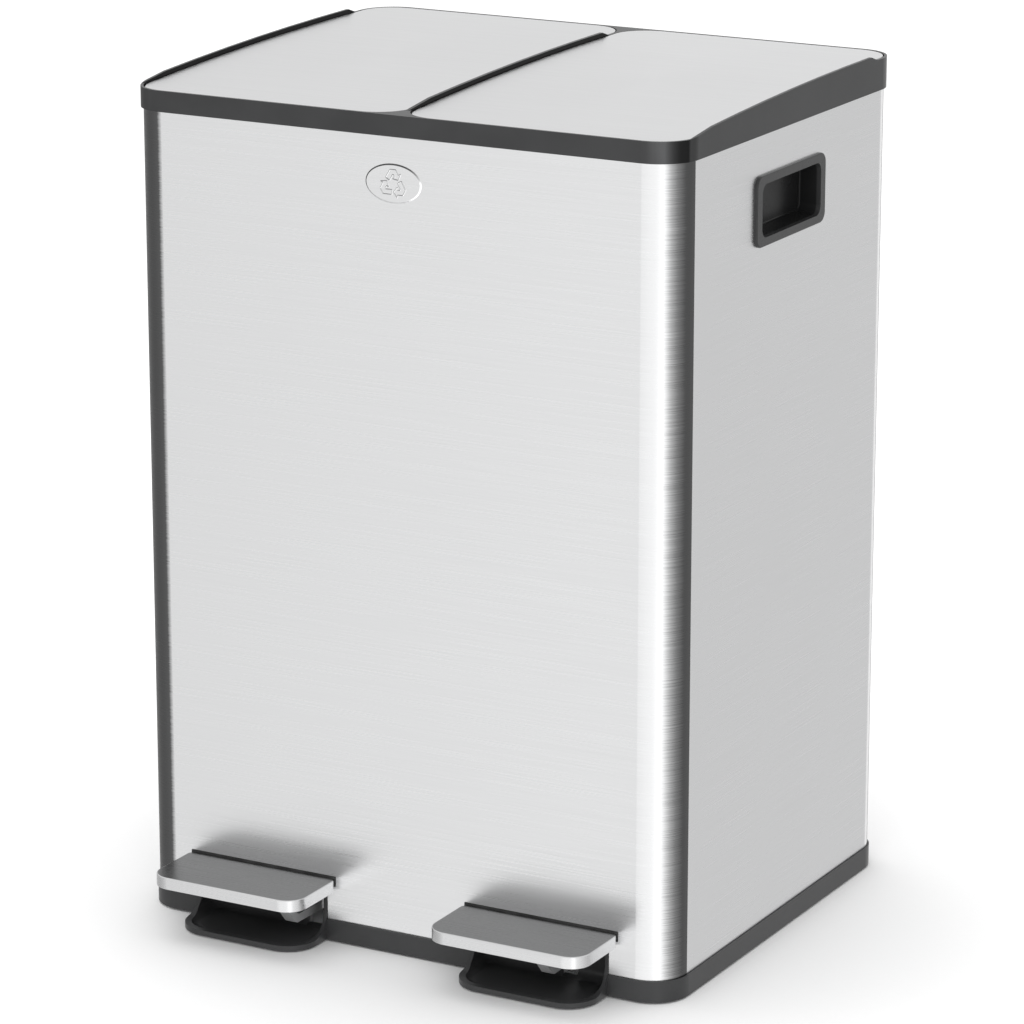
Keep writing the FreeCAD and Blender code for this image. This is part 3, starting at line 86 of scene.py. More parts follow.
# ---------------------------------------------------------------------------------------- shader building
class Graph:
    """A node tree under construction."""

    def __init__(self, tree: bpy.types.NodeTree) -> None:
        """Takes the tree that the nodes go into.

        Args:
            tree: an empty or partly filled node tree.
        """
        self.tree = tree

    def node(self, kind: str, values: dict | None = None, **settings: object) -> bpy.types.Node:
        """Adds a node.

        Args:
            kind: the node's type name.
            values: constants for its input sockets, by name or number.
            settings: attributes of the node itself.

        Returns:
            The new node.
        """
        made = self.tree.nodes.new(kind)
        for key, value in settings.items():
            setattr(made, key, value)
        for key, value in (values or {}).items():
            made.inputs[key].default_value = value
        return made

    def link(self, source: bpy.types.NodeSocket, target: bpy.types.NodeSocket) -> None:
        """Joins an output to an input."""
        self.tree.links.new(source, target)

    def math(self, operation: str, first: object, second: object = 0.0,
             third: object = 0.0) -> bpy.types.NodeSocket:
        """Adds a Math node whose operands are sockets or numbers.

        Args:
            operation: the Math node's operation.
            first: first operand.
            second: second operand.
            third: third operand.

        Returns:
            Its result.
        """
        made = self.node("ShaderNodeMath", operation=operation)
        for socket, value in zip(made.inputs, (first, second, third)):
            if isinstance(value, bpy.types.NodeSocket):
                self.link(value, socket)
            else:
                socket.default_value = value
        return made.outputs[0]

    def remap(self, value: bpy.types.NodeSocket, low: float, high: float, start: float = 0.0,
              end: float = 1.0) -> bpy.types.NodeSocket:
        """Carries low..high onto start..end, clamped.

        Args:
            value: what is carried.
            low: start of its own range.
            high: end of its own range.
            start: result at low.
            end: result at high.

        Returns:
            The carried value.
        """
        made = self.node("ShaderNodeMapRange", {1: low, 2: high, 3: start, 4: end})
        self.link(value, made.inputs[0])
        return made.outputs[0]

    def blend(self, factor: bpy.types.NodeSocket, dark: tuple, light: tuple) -> bpy.types.NodeSocket:
        """Mixes two colours: of the Mix node's sockets, inputs 6 and 7 and output 2 are the colours.

        Args:
            factor: 0 gives dark, 1 gives light.
            dark: first colour.
            light: second colour.

        Returns:
            The mixed colour.
        """
        made = self.node("ShaderNodeMix", data_type="RGBA")
        self.link(factor, made.inputs[0])
        made.inputs[6].default_value = (*dark, 1.0)
        made.inputs[7].default_value = (*light, 1.0)
        return made.outputs[2]

    def scaled(self, scale: tuple = (1.0, 1.0, 1.0)) -> bpy.types.NodeSocket:
        """Object coordinates, stretched.

        Args:
            scale: factor along X, Y and Z, per metre.

        Returns:
            The stretched coordinates.
        """
        place = self.node("ShaderNodeTexCoord")
        made = self.node("ShaderNodeMapping", {"Scale": scale})
        self.link(place.outputs["Object"], made.inputs["Vector"])
        return made.outputs[0]

    def split(self, output: str = "Object") -> bpy.types.bpy_prop_collection:
        """Splits a texture coordinate.

        Args:
            output: which coordinate, "Object", "Normal" or, for the world, "Generated".

        Returns:
            Its X, Y and Z.
        """
        place = self.node("ShaderNodeTexCoord")
        made = self.node("ShaderNodeSeparateXYZ")
        self.link(place.outputs[output], made.inputs[0])
        return made.outputs

    def toned(self, colour: bpy.types.NodeSocket, tone: bpy.types.NodeSocket) -> bpy.types.NodeSocket:
        """Multiplies a colour.

        Args:
            colour: the colour.
            tone: the factor.

        Returns:
            The product.
        """
        made = self.node("ShaderNodeVectorMath", operation="SCALE")
        self.link(colour, made.inputs[0])
        self.link(tone, made.inputs["Scale"])
        return made.outputs[0]

    def ramp(self, angle: bpy.types.NodeSocket, stops: tuple, low: float,
             high: float) -> bpy.types.NodeSocket:
        """Carries an angle through a list of stops. The ramp holds each tone as a share of the greatest.

        Args:
            angle: degrees.
            stops: (degrees, tone) pairs in order.
            low: degrees at the ramp's start.
            high: degrees at its end.

        Returns:
            The tone.
        """
        greatest = max(tone for _, tone in stops)
        made = self.node("ShaderNodeValToRGB")
        elements = made.color_ramp.elements
        while len(elements) < len(stops):
            elements.new(0.5)
        for element, (degrees, tone) in zip(elements, stops):
            element.position = (degrees - low) / (high - low)
            element.color = (tone / greatest, tone / greatest, tone / greatest, 1.0)
        self.link(self.remap(angle, low, high), made.inputs[0])
        return self.math("MULTIPLY", made.outputs[0], greatest)

    def noise(self, vector: bpy.types.NodeSocket, detail: float, roughness: float,
              scale: float = 1.0) -> bpy.types.NodeSocket:
        """Adds a noise texture.

        Args:
            vector: coordinates.
            detail: octaves.
            roughness: weight of the fine octaves.
            scale: cells per unit.

        Returns:
            Its value, about 0.3 to 0.7.
        """
        made = self.node("ShaderNodeTexNoise", {"Scale": scale, "Detail": detail, "Roughness": roughness})
        self.link(vector, made.inputs["Vector"])
        return made.outputs["Fac"]


def effect_group(name: str, inputs: dict[str, str], outputs: list[str]) -> tuple[Graph, object, object]:
    """Starts a shared effect as a node group.

    Args:
        name: the group's name.
        inputs: socket name to socket type.
        outputs: names of its value outputs.

    Returns:
        The graph, its input node and its output node.
    """
    tree = bpy.data.node_groups.new(name, "ShaderNodeTree")
    for label, kind in inputs.items():
        tree.interface.new_socket(name=label, in_out="INPUT", socket_type=kind)
    for label in outputs:
        tree.interface.new_socket(name=label, in_out="OUTPUT", socket_type="NodeSocketFloat")
    graph = Graph(tree)
    return graph, graph.node("NodeGroupInput"), graph.node("NodeGroupOutput")


def brushing_group() -> bpy.types.NodeTree:
    """Brushed lines: a long fine noise for the strokes and a shorter one for the scratches between them.

    Tone follows the strokes, and Height is 0.6 * strokes + 0.4 * scratches.

    Returns:
        The group, with outputs Tone (0 to 1) and Height (0 to 1).
    """
    graph, source, target = effect_group("brushing", {"Vector": "NodeSocketVector"}, ["Tone", "Height"])
    strokes = graph.noise(source.outputs[0], detail=3.0, roughness=0.62)
    scratches = graph.noise(source.outputs[0], detail=1.0, roughness=0.5, scale=2.7)
    graph.link(graph.remap(strokes, 0.32, 0.68), target.inputs["Tone"])
    both = graph.math("MULTIPLY_ADD", scratches, 0.4, graph.math("MULTIPLY", strokes, 0.6))
    graph.link(graph.remap(both, 0.3, 0.7), target.inputs["Height"])
    return graph.tree


def moulding_group() -> bpy.types.NodeTree:
    """Moulded plastic: a fine eroded texture, and a slow cloud where the mould was polished unevenly.

    Returns:
        The group, with outputs Pits (0 to 1) and Cloud (0 to 1).
    """
    graph, source, target = effect_group("mould_texture", {"Vector": "NodeSocketVector"}, ["Pits", "Cloud"])
    pits = graph.noise(source.outputs[0], detail=2.0, roughness=0.6, scale=1500.0)
    cloud = graph.noise(source.outputs[0], detail=3.0, roughness=0.55, scale=14.0)
    graph.link(graph.remap(pits, 0.3, 0.7), target.inputs["Pits"])
    graph.link(graph.remap(cloud, 0.35, 0.65), target.inputs["Cloud"])
    return graph.tree


def handling_group() -> bpy.types.NodeTree:
    """Light use: soft blotches, densest where Reach is high.

    Returns:
        The group, with output Smear (0 to 1).
    """
    inputs = {"Vector": "NodeSocketVector", "Reach": "NodeSocketFloat"}
    graph, source, target = effect_group("handling", inputs, ["Smear"])
    blotch = graph.noise(source.outputs[0], detail=4.0, roughness=0.6, scale=9.0)
    soft = graph.remap(blotch, 0.45, 0.72)
    graph.link(graph.math("MULTIPLY", soft, source.outputs[1]), target.inputs["Smear"])
    return graph.tree


class Effects:
    """The shared effect groups, each built once."""

    brushing: bpy.types.NodeTree
    moulding: bpy.types.NodeTree
    handling: bpy.types.NodeTree

    @classmethod
    def build(cls) -> None:
        """Builds every group."""
        cls.brushing = brushing_group()
        cls.moulding = moulding_group()
        cls.handling = handling_group()


def start_material(name: str) -> tuple[bpy.types.Material, Graph, bpy.types.Node]:
    """Makes an empty material with one Principled shader.

    Args:
        name: the material's name.

    Returns:
        The material, its graph and the shader node.
    """
    material = bpy.data.materials.new(name)
    material.use_nodes = True
    material.node_tree.nodes.clear()
    graph = Graph(material.node_tree)
    shader = graph.node("ShaderNodeBsdfPrincipled")
    output = graph.node("ShaderNodeOutputMaterial")
    graph.link(shader.outputs[0], output.inputs[0])
    return material, graph, shader


def place_group(graph: Graph, tree: bpy.types.NodeTree, vector: bpy.types.NodeSocket,
                **values: float) -> bpy.types.Node:
    """Puts a shared effect into a material.

    Args:
        graph: the material's graph.
        tree: the effect.
        vector: coordinates for its Vector input.
        values: constants for its other inputs.

    Returns:
        The group node.
    """
    made = graph.node("ShaderNodeGroup", node_tree=tree)
    graph.link(vector, made.inputs["Vector"])
    for key, value in values.items():
        made.inputs[key].default_value = value
    return made


def bump(graph: Graph, height: bpy.types.NodeSocket, shader: bpy.types.Node, distance: float,
         strength: float) -> None:
    """Feeds a height into the shader's normal.

    Args:
        graph: the material's graph.
        height: 0 to 1.
        shader: the Principled node.
        distance: metres for a height of 1.
        strength: share of the effect.
    """
    made = graph.node("ShaderNodeBump", {"Strength": strength, "Distance": distance})
    graph.link(height, made.inputs["Height"])
    graph.link(made.outputs[0], shader.inputs["Normal"])


# ------------------------------------------------------------------------------------------------ finishes
@dataclass(frozen=True)
class CornerLight:
    """Painted reflection on one upright corner of the body: highlight and shade bands as (degrees, tone)
    stops round its arc.

    0 degrees faces the front or the back, 90 degrees the side.
    """

    side: Side
    way: Way
    stops: tuple[tuple[float, float], ...]
    climb: float = 0.0              # degrees per metre of height by which the stops move
    stray: float = 0.0              # degrees by which single strokes run on round the corner


def painted_corner_light(graph: Graph, colour: bpy.types.NodeSocket, corners: tuple[CornerLight, ...],
                grain: bpy.types.NodeSocket) -> bpy.types.NodeSocket:
    """Paints highlight and shade bands on the body's upright corners by the angle of their arc.

    angle = atan2(side * x - flat half width, way * (y - middle) - flat half depth), moved by the
    climb and the stray of the strokes. Only points past both flats are toned.

    Args:
        graph: the material's graph.
        colour: the colour of the flats.
        corners: the corners that carry painted highlight and shade.
        grain: 0 to 1, from stroke to stroke.

    Returns:
        The colour with its painted corner highlight and shade.
    """
    place = graph.split()
    ahead = graph.math("SUBTRACT", place[1], BODY_Y)
    grain = graph.math("SUBTRACT", grain, 0.5)
    for corner in corners:
        across = graph.math("MULTIPLY_ADD", place[0], corner.side.value, BODY_CORNER - HALF_WIDTH)
        along = graph.math("MULTIPLY_ADD", ahead, corner.way.value, BODY_CORNER - HALF_DEPTH)
        past = graph.math("MULTIPLY", graph.math("GREATER_THAN", across, 0.0),
                          graph.math("GREATER_THAN", along, 0.0))
        angle = graph.math("DEGREES", graph.math("ARCTAN2", across, along))
        angle = graph.math("MULTIPLY_ADD", place[2], corner.climb, angle)
        angle = graph.math("MULTIPLY_ADD", grain, corner.stray, angle)
        # painted highlight and shade bands round the corner's arc
        tone = graph.ramp(angle, corner.stops, 0.0, RIGHT_ANGLE)
        tone = graph.math("MULTIPLY_ADD", graph.math("SUBTRACT", tone, 1.0), past, 1.0)
        colour = graph.toned(colour, tone)
    return colour


@dataclass(frozen=True)
class BrushedSteel:
    """Brushed stainless sheet.

    The grain is a noise stretched along the brushing. It shifts the tone, the roughness and the bump.
    Corners, tops that face up and the sign's edges can also take painted highlight and shade.
    """

    name: str
    tint: tuple[float, float, float]
    grain: Grain
    roughness: float = 0.3
    spread: float = 0.05            # how far the grain shifts the roughness
    contrast: float = 0.02          # how far it darkens the tone
    anisotropy: float = 0.5
    depth: float = 0.001 * MM       # of the strokes
    smear: float = 0.04             # roughness that handling adds
    painted_top_shade: float | None = None      # painted shade: tone of the faces that look up
    # painted highlight and shade on the body's corners
    corners: tuple[CornerLight, ...] = ()
    paints_facing_light: bool = False           # painted light and shade by the way a face faces, as on the sign's edges
    painted_shade_way: tuple[float, float, float] = (-0.62, 0.0, 0.78)       # painted shade on faces turned this way
    painted_light_and_shade: tuple[float, float] = (1.27, 0.12)                  # painted highlight, painted shade

    def build(self) -> bpy.types.Material:
        """Builds the material."""
        material, graph, shader = start_material(self.name)
        shader.inputs["Metallic"].default_value = 1.0
        shader.inputs["Anisotropic"].default_value = self.anisotropy
        grain = place_group(graph, Effects.brushing, graph.scaled(self.grain.value))
        smear = place_group(graph, Effects.handling, graph.scaled(), Reach=0.5)
        dark = tuple(channel * (1.0 - self.contrast) for channel in self.tint)
        colour = graph.blend(grain.outputs["Tone"], dark, self.tint)
        # painted highlight and shade on the body's corners
        colour = painted_corner_light(graph, colour, self.corners, grain.outputs["Tone"])
        # painted shade on faces that look up: darker tops
        if self.painted_top_shade:
            upward = graph.split("Normal")[2]
            colour = graph.toned(colour, graph.remap(upward, *LEVEL, 1.0, self.painted_top_shade))
        # painted highlight and shade by the way the sign's edges face
        if self.paints_facing_light:
            colour = self.painted_facing_light(graph, colour)
        graph.link(colour, shader.inputs["Base Color"])
        rough = graph.remap(grain.outputs["Tone"], 0.0, 1.0, self.roughness + self.spread,
                            self.roughness - self.spread)
        rough = graph.math("MULTIPLY_ADD", smear.outputs["Smear"], self.smear, rough)
        graph.link(rough, shader.inputs["Roughness"])
        bump(graph, grain.outputs["Height"], shader, self.depth, 1.0)
        return material

    def painted_facing_light(self, graph: Graph, colour: bpy.types.NodeSocket) -> bpy.types.NodeSocket:
        """Paints light and shade by the way a face faces: painted shade where it faces up or left, painted
        highlight elsewhere.

        Args:
            graph: the material's graph.
            colour: the steel's colour.

        Returns:
            The shaded colour.
        """
        place = graph.node("ShaderNodeTexCoord")
        lean = graph.node("ShaderNodeVectorMath", {1: self.painted_shade_way}, operation="DOT_PRODUCT")
        graph.link(place.outputs["Normal"], lean.inputs[0])
        return graph.toned(colour, graph.remap(lean.outputs["Value"], -0.3, 0.3, *self.painted_light_and_shade))


@dataclass(frozen=True)
class PaintedRecessShade:
    """Painted shade on the inner walls of a moulding: darker colour and weaker reflections where shade falls
    in recesses.
    """

    half: float                     # they lie nearer the bin's middle plane than this
    tone: float
    edge: float = 0.6 * MM          # over which the painted shade comes in
    sideways_only: bool = False     # only those that face left or right


@dataclass(frozen=True)
class MouldedPlastic:
    """Injection-moulded plastic with a fine satin texture, with painted highlight on chosen corners and
    painted shade in recesses.
    """

    name: str
    tint: tuple[float, float, float]
    roughness: float = 0.42
    variation: float = 0.12         # of the tint
    roughening: float = 0.03        # either way
    polish: float = 0.05            # roughness that handling takes off
    depth: float = 0.02 * MM
    depth_share: float = 0.5
    specular: float = 0.24
    # painted highlight on chosen corners
    corners: tuple[CornerLight, ...] = ()
    # painted shade in the recesses
    inner: PaintedRecessShade | None = None

    def build(self) -> bpy.types.Material:
        """Builds the material."""
        material, graph, shader = start_material(self.name)
        shader.inputs["Specular IOR Level"].default_value = self.specular
        texture = place_group(graph, Effects.moulding, graph.scaled())
        smear = place_group(graph, Effects.handling, graph.scaled((2.0, 2.0, 2.0)), Reach=0.6)
        light = tuple(channel * (1.0 + self.variation) for channel in self.tint)
        dark = tuple(channel * (1.0 - self.variation) for channel in self.tint)
        colour = graph.blend(texture.outputs["Cloud"], dark, light)
        # painted highlight on the corners
        colour = painted_corner_light(graph, colour, self.corners, texture.outputs["Cloud"])
        # painted shade in the recesses: darker colour and weaker reflections
        if self.inner:
            tone = self.painted_recess_shade(graph)
            colour = graph.toned(colour, tone)
            graph.link(graph.math("MULTIPLY", tone, self.specular), shader.inputs["Specular IOR Level"])
        graph.link(colour, shader.inputs["Base Color"])
        rough = graph.remap(texture.outputs["Cloud"], 0.0, 1.0, self.roughness - self.roughening,
                            self.roughness + self.roughening)
        rough = graph.math("MULTIPLY_ADD", smear.outputs["Smear"], -self.polish, rough)
        graph.link(rough, shader.inputs["Roughness"])
        bump(graph, texture.outputs["Pits"], shader, self.depth, self.depth_share)
        return material

    def painted_recess_shade(self, graph: Graph) -> bpy.types.NodeSocket:
        """Painted shade of the inner walls, 1 elsewhere: inside when |x| is under their half width.

        Args:
            graph: the material's graph.

        Returns:
            The tone.
        """
        apart = graph.math("ABSOLUTE", graph.split()[0])
        inside = graph.remap(apart, self.inner.half - self.inner.edge, self.inner.half, 1.0, 0.0)
        if self.inner.sideways_only:
            facing = graph.math("ABSOLUTE", graph.split("Normal")[0])
            inside = graph.math("MULTIPLY", inside, graph.remap(facing, *SIDEWAYS))
        return graph.math("MULTIPLY_ADD", inside, self.inner.tone - 1.0, 1.0)


@dataclass(frozen=True)
class PlatedSteel:
    """Zinc or nickel plated wire, pins and pressings: faint drawing marks and a cloudy bloom."""

    name: str
    tint: tuple[float, float, float]
    roughness: float = 0.28
    roughening: float = 0.08        # where the bloom is thick
    bloom: float = 0.12             # how far it darkens the tint
    depth: float = 0.01 * MM
    depth_share: float = 0.4
    metallic: float = 1.0

    def build(self) -> bpy.types.Material:
        """Builds the material."""
        material, graph, shader = start_material(self.name)
        shader.inputs["Metallic"].default_value = self.metallic
        texture = place_group(graph, Effects.moulding, graph.scaled((1.6, 1.6, 1.6)))
        dark = tuple(channel * (1.0 - self.bloom) for channel in self.tint)
        graph.link(graph.blend(texture.outputs["Cloud"], dark, self.tint), shader.inputs["Base Color"])
        rough = graph.remap(texture.outputs["Cloud"], 0.0, 1.0, self.roughness + self.roughening,
                            self.roughness)
        graph.link(rough, shader.inputs["Roughness"])
        bump(graph, texture.outputs["Pits"], shader, self.depth, self.depth_share)
        return material


@dataclass(frozen=True)
class Rubber:
    """Matt black rubber with a dusty bloom."""

    name: str
    tint: tuple[float, float, float]
    roughness: tuple[float, float] = (0.72, 0.9)
    dust: float = 1.8               # the bloom's colour is the tint times this
    dust_grey: float = 0.01         # and this more
    depth: float = 0.05 * MM
    depth_share: float = 0.6

    def build(self) -> bpy.types.Material:
        """Builds the material."""
        material, graph, shader = start_material(self.name)
        texture = place_group(graph, Effects.moulding, graph.scaled((3.0, 3.0, 3.0)))
        dusty = tuple(channel * self.dust + self.dust_grey for channel in self.tint)
        graph.link(graph.blend(texture.outputs["Cloud"], self.tint, dusty), shader.inputs["Base Color"])
        rough = graph.remap(texture.outputs["Pits"], 0.0, 1.0, *self.roughness)
        graph.link(rough, shader.inputs["Roughness"])
        bump(graph, texture.outputs["Pits"], shader, self.depth, self.depth_share)
        return material


# Painted reflections on the body's corners: bright and dark bands round each arc.
FRONT_RIGHT = CornerLight(
    Side.RIGHT, Way.FRONT, climb=14.0, stray=9.0,
    stops=((0, 1.0), (41, 1.0), (52, 0.56), (62, 0.3), (76, 0.14), (90, 0.13)))
FRONT_LEFT = CornerLight(
    Side.LEFT, Way.FRONT, stray=2.0,
    stops=((0, 1.0), (3, 0.7), (7, 0.17), (45, 0.12), (75, 0.35), (90, 0.8)))
BACK_RIGHT = CornerLight(
    Side.RIGHT, Way.BACK,
    stops=((0, 1.0), (58, 1.0), (62, 0.55), (76, 0.5), (78, 1.3), (85, 1.3), (88, 1.0)))
# Painted highlight on the collar's front right corner.
COLLAR_RIGHT = CornerLight(
    Side.RIGHT, Way.FRONT, stray=4.0,
    stops=((0, 1.0), (8, 1.1), (20, 1.8), (34, 3.2), (46, 1.8), (58, 1.0), (84, 0.6), (90, 0.9)))

# Each finish by the name that the sub-assemblies call it. The sign's edges, the collar and the grip pockets
# have one of their own, for the painted highlight and shade they carry, and the others are called as their
# slot in the record.
FINISHES = {
    # the body steel carries painted highlight and shade on its corners
    "steel": BrushedSteel("brushed_steel_body", (0.78, 0.783, 0.788), Grain.ROUND_THE_WALLS,
                          corners=(FRONT_RIGHT, FRONT_LEFT, BACK_RIGHT)),
    # painted highlight and shade on the sign's edges
    "steel_pressed": BrushedSteel("steel_painted_facing_light", (0.78, 0.783, 0.788), Grain.ROUND_THE_WALLS,
                                  roughness=0.16, paints_facing_light=True),
    "steel_lid": BrushedSteel("brushed_steel_lid", (0.765, 0.768, 0.773), Grain.SIDE_TO_SIDE,
                              roughness=0.34, anisotropy=0.2),
    # painted shade darkens the pedals' tops
    "steel_pedal": BrushedSteel("brushed_steel_pedal", (0.72, 0.722, 0.727), Grain.SIDE_TO_SIDE,
                                roughness=0.28, anisotropy=0.2, contrast=0.04, painted_top_shade=0.36),
    "zinc_steel": PlatedSteel("zinc_plated_steel", (0.66, 0.67, 0.68)),
    "lever_steel": PlatedSteel("lever_steel", (0.68, 0.685, 0.69), roughness=0.25, metallic=0.5),
    "black_plastic": MouldedPlastic("black_moulding", (0.043, 0.0435, 0.0445), roughness=0.36),
    # painted highlight on the collar's front right corner
    "collar_plastic": MouldedPlastic("collar_moulding", (0.043, 0.0435, 0.0445), roughness=0.36,
                                     specular=0.2, corners=(COLLAR_RIGHT,),
                                     # painted shade on the rails' inner walls
                                     inner=PaintedRecessShade(HALF_WIDTH + 0.6 * MM, 0.3, sideways_only=True)),
    "grip_plastic": MouldedPlastic("grip_moulding", (0.034, 0.0343, 0.035), roughness=0.27),
    # painted shade in the grip pockets
    "handle_plastic": MouldedPlastic("handle_moulding", (0.028, 0.0283, 0.029), roughness=0.27,
                                     specular=0.34, inner=PaintedRecessShade(HALF_WIDTH - 0.4 * MM, 0.4)),
    "guide_plastic": MouldedPlastic("guide_moulding", (0.11, 0.112, 0.115), roughness=0.35),
    "bucket_plastic": MouldedPlastic("bucket_moulding", (0.085, 0.088, 0.092), roughness=0.45,
                                     depth=0.03 * MM),
    "foot_rubber": Rubber("foot_rubber", (0.02, 0.02, 0.02)),
}


class Wardrobe:
    """Builds each finish once and hands it out by its name in FINISHES."""

    def __init__(self) -> None:
        """Starts with nothing built."""
        self.made: dict[str, bpy.types.Material] = {}

    def get(self, finish: str) -> bpy.types.Material:
        """Gives a finish, built on first use.

        Args:
            finish: its name.

        Returns:
            Its material.
        """
        if finish not in self.made:
            self.made[finish] = FINISHES[finish].build()
        return self.made[finish]

    def dress(self, finishes: dict[str, str], ending: str = "") -> list[str]:
        """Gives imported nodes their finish.

        Args:
            finishes: the finish of each node, by the start of the node's name.
            ending: the end of the nodes' names.

        Returns:
            The nodes' names.
        """
        for start, finish in finishes.items():
            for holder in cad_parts[start + ending].material_slots:
                holder.material = self.get(finish)
        return [start + ending for start in finishes]


# ------------------------------------------------------------------------------------------------- meshes
def make_piece(name: str, vertices: np.ndarray, faces: list, body: str,
               material: bpy.types.Material) -> bpy.types.Object:
    """Makes a mesh object from arrays and lets it ride on a body.

    Args:
        name: the piece's name.
        vertices: (n, 3) metres.
        faces: vertex numbers of each face, anticlockwise from outside.
        body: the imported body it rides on.
        material: its finish.

    Returns:
        The new object.
    """
    mesh = bpy.data.meshes.new(name)
    mesh.from_pydata(vertices.tolist(), [], faces)
    mesh.polygons.foreach_set("use_smooth", np.array([len(face) == 4 for face in faces]))
    mesh.materials.append(material)
    mesh.update()
    piece = bpy.data.objects.new(name, mesh)
    bpy.context.scene.collection.objects.link(piece)
    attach(piece, body)
    return piece


def closed_band(path: np.ndarray, outward: np.ndarray, profile: np.ndarray) -> tuple[np.ndarray, np.ndarray]:
    """Carries a closed profile along a closed flat path.

    vertex(i, j) = path(i) + profile_u(j) * side(i) + profile_v(j) * outward, where side is the
    path's direction turned a quarter about outward.

    Args:
        path: (n, 3) points of the closed path.
        outward: unit normal of the path's plane.
        profile: (k, 2) points (u, v), anticlockwise seen along the path.

    Returns:
        Vertices (n*k, 3) and quads (n*k, 4).
    """
    ahead = np.roll(path, -1, axis=0) - np.roll(path, 1, axis=0)
    ahead /= np.linalg.norm(ahead, axis=1, keepdims=True)
    side = np.cross(ahead, outward)
    u = profile[None, :, 0, None]
    v = profile[None, :, 1, None]
    grid = path[:, None, :] + u * side[:, None, :] + v * outward[None, None, :]
    count, ring = len(path), len(profile)
    i, j = np.meshgrid(np.arange(count), np.arange(ring), indexing="ij")
    a = i * ring + j
    b = ((i + 1) % count) * ring + j
    c = ((i + 1) % count) * ring + (j + 1) % ring
    d = i * ring + (j + 1) % ring
    quads = np.stack([a, b, c, d], axis=-1).reshape(-1, 4)
    return grid.reshape(-1, 3), quads


def rings_to_faces(rings: int, count: int) -> list:
    """Faces of a stack of closed rings, with both ends capped.

    Args:
        rings: number of rings.
        count: points in each.

    Returns:
        Quads between the rings and one many-sided face at each end.
    """
    i, j = np.meshgrid(np.arange(rings - 1), np.arange(count), indexing="ij")
    after = (j + 1) % count
    near = i * count
    far = (i + 1) * count
    quads = np.stack([near + j, near + after, far + after, far + j], axis=-1)
    faces = quads.reshape(-1, 4).tolist()
    faces.append((np.arange(count) + (rings - 1) * count).tolist())
    faces.append(np.arange(count)[::-1].tolist())
    return faces


def prism(outline: np.ndarray, y0: float, y1: float) -> tuple[np.ndarray, list]:
    """Prism along Y over an (x, z) outline.

    Args:
        outline: (n, 2) points, anticlockwise seen from the front.
        y0: its back.
        y1: its front.

    Returns:
        Vertices and faces.
    """
    rings = [np.stack([outline[:, 0], np.full(len(outline), y), outline[:, 1]], axis=1) for y in (y0, y1)]
    return np.concatenate(rings), rings_to_faces(2, len(outline))


def lathe(profile: np.ndarray, place: tuple[float, float, float], steps: int = 40) -> tuple[np.ndarray, list]:
    """Turned shape on a face that looks along +Y: x = r * sin(t), y = lift, z = r * cos(t).

    Args:
        profile: (k, 2) points (r, lift) from the root outwards.
        place: where its axis meets the face.
        steps: points round it.

    Returns:
        Vertices and faces.
    """
    t = np.linspace(0.0, 2 * math.pi, steps, endpoint=False)
    rings = [np.stack([r * np.sin(t), np.full(steps, lift), r * np.cos(t)], axis=1) for r, lift in profile]
    return np.concatenate(rings) + np.array(place), rings_to_faces(len(profile), steps)


def bead_profile(width: float, height: float, root: float, steps: int = 9) -> np.ndarray:
    """Half-round bead: u = width/2 * cos(t), v = height * sin(t), closed by a flat root under the surface.

    Args:
        width: across the bead.
        height: above the surface.
        root: depth under the surface.
        steps: points over the round.

    Returns:
        (steps + 2, 2) points.
    """
    t = np.linspace(0.0, math.pi, steps)
    crown = np.stack([width / 2 * np.cos(t), height * np.sin(t)], axis=1)
    foot = np.array([[-width / 2, -root], [width / 2, -root]])
    return np.concatenate([crown, foot])


def resample(corners: np.ndarray, spacing: float, radius: float) -> np.ndarray:
    """Closed polygon with rounded corners, at about even spacing.

    Each corner is a quadratic curve: (1-t)^2 * before + 2t(1-t) * corner + t^2 * after, where before
    and after lie radius away along the polygon's sides.

    Args:
        corners: (n, 2) polygon.
        spacing: between points on the straights.
        radius: of the rounding, along the sides. Short sides take less.

    Returns:
        (m, 2) points.
    """
    points = []
    t = np.linspace(0.0, 1.0, ROUND_POINTS)[:, None]
    for before, corner, after in zip(np.roll(corners, 1, axis=0), corners, np.roll(corners, -1, axis=0)):
        back = np.linalg.norm(before - corner)
        ahead = np.linalg.norm(after - corner)
        to_after = (after - corner) / ahead
        start = corner + (before - corner) / back * min(radius, ROUND_SHARE * back)
        end = corner + to_after * min(radius, ROUND_SHARE * ahead)
        points.append((1 - t) ** 2 * start + 2 * t * (1 - t) * corner + t ** 2 * end)
        stop = after - to_after * min(radius, ROUND_SHARE * ahead)
        steps = max(2, int(np.linalg.norm(stop - end) / spacing))
        s = np.linspace(0.0, 1.0, steps + 1)[1:-1, None]
        points.append(end + s * (stop - end))
    return np.concatenate(points)


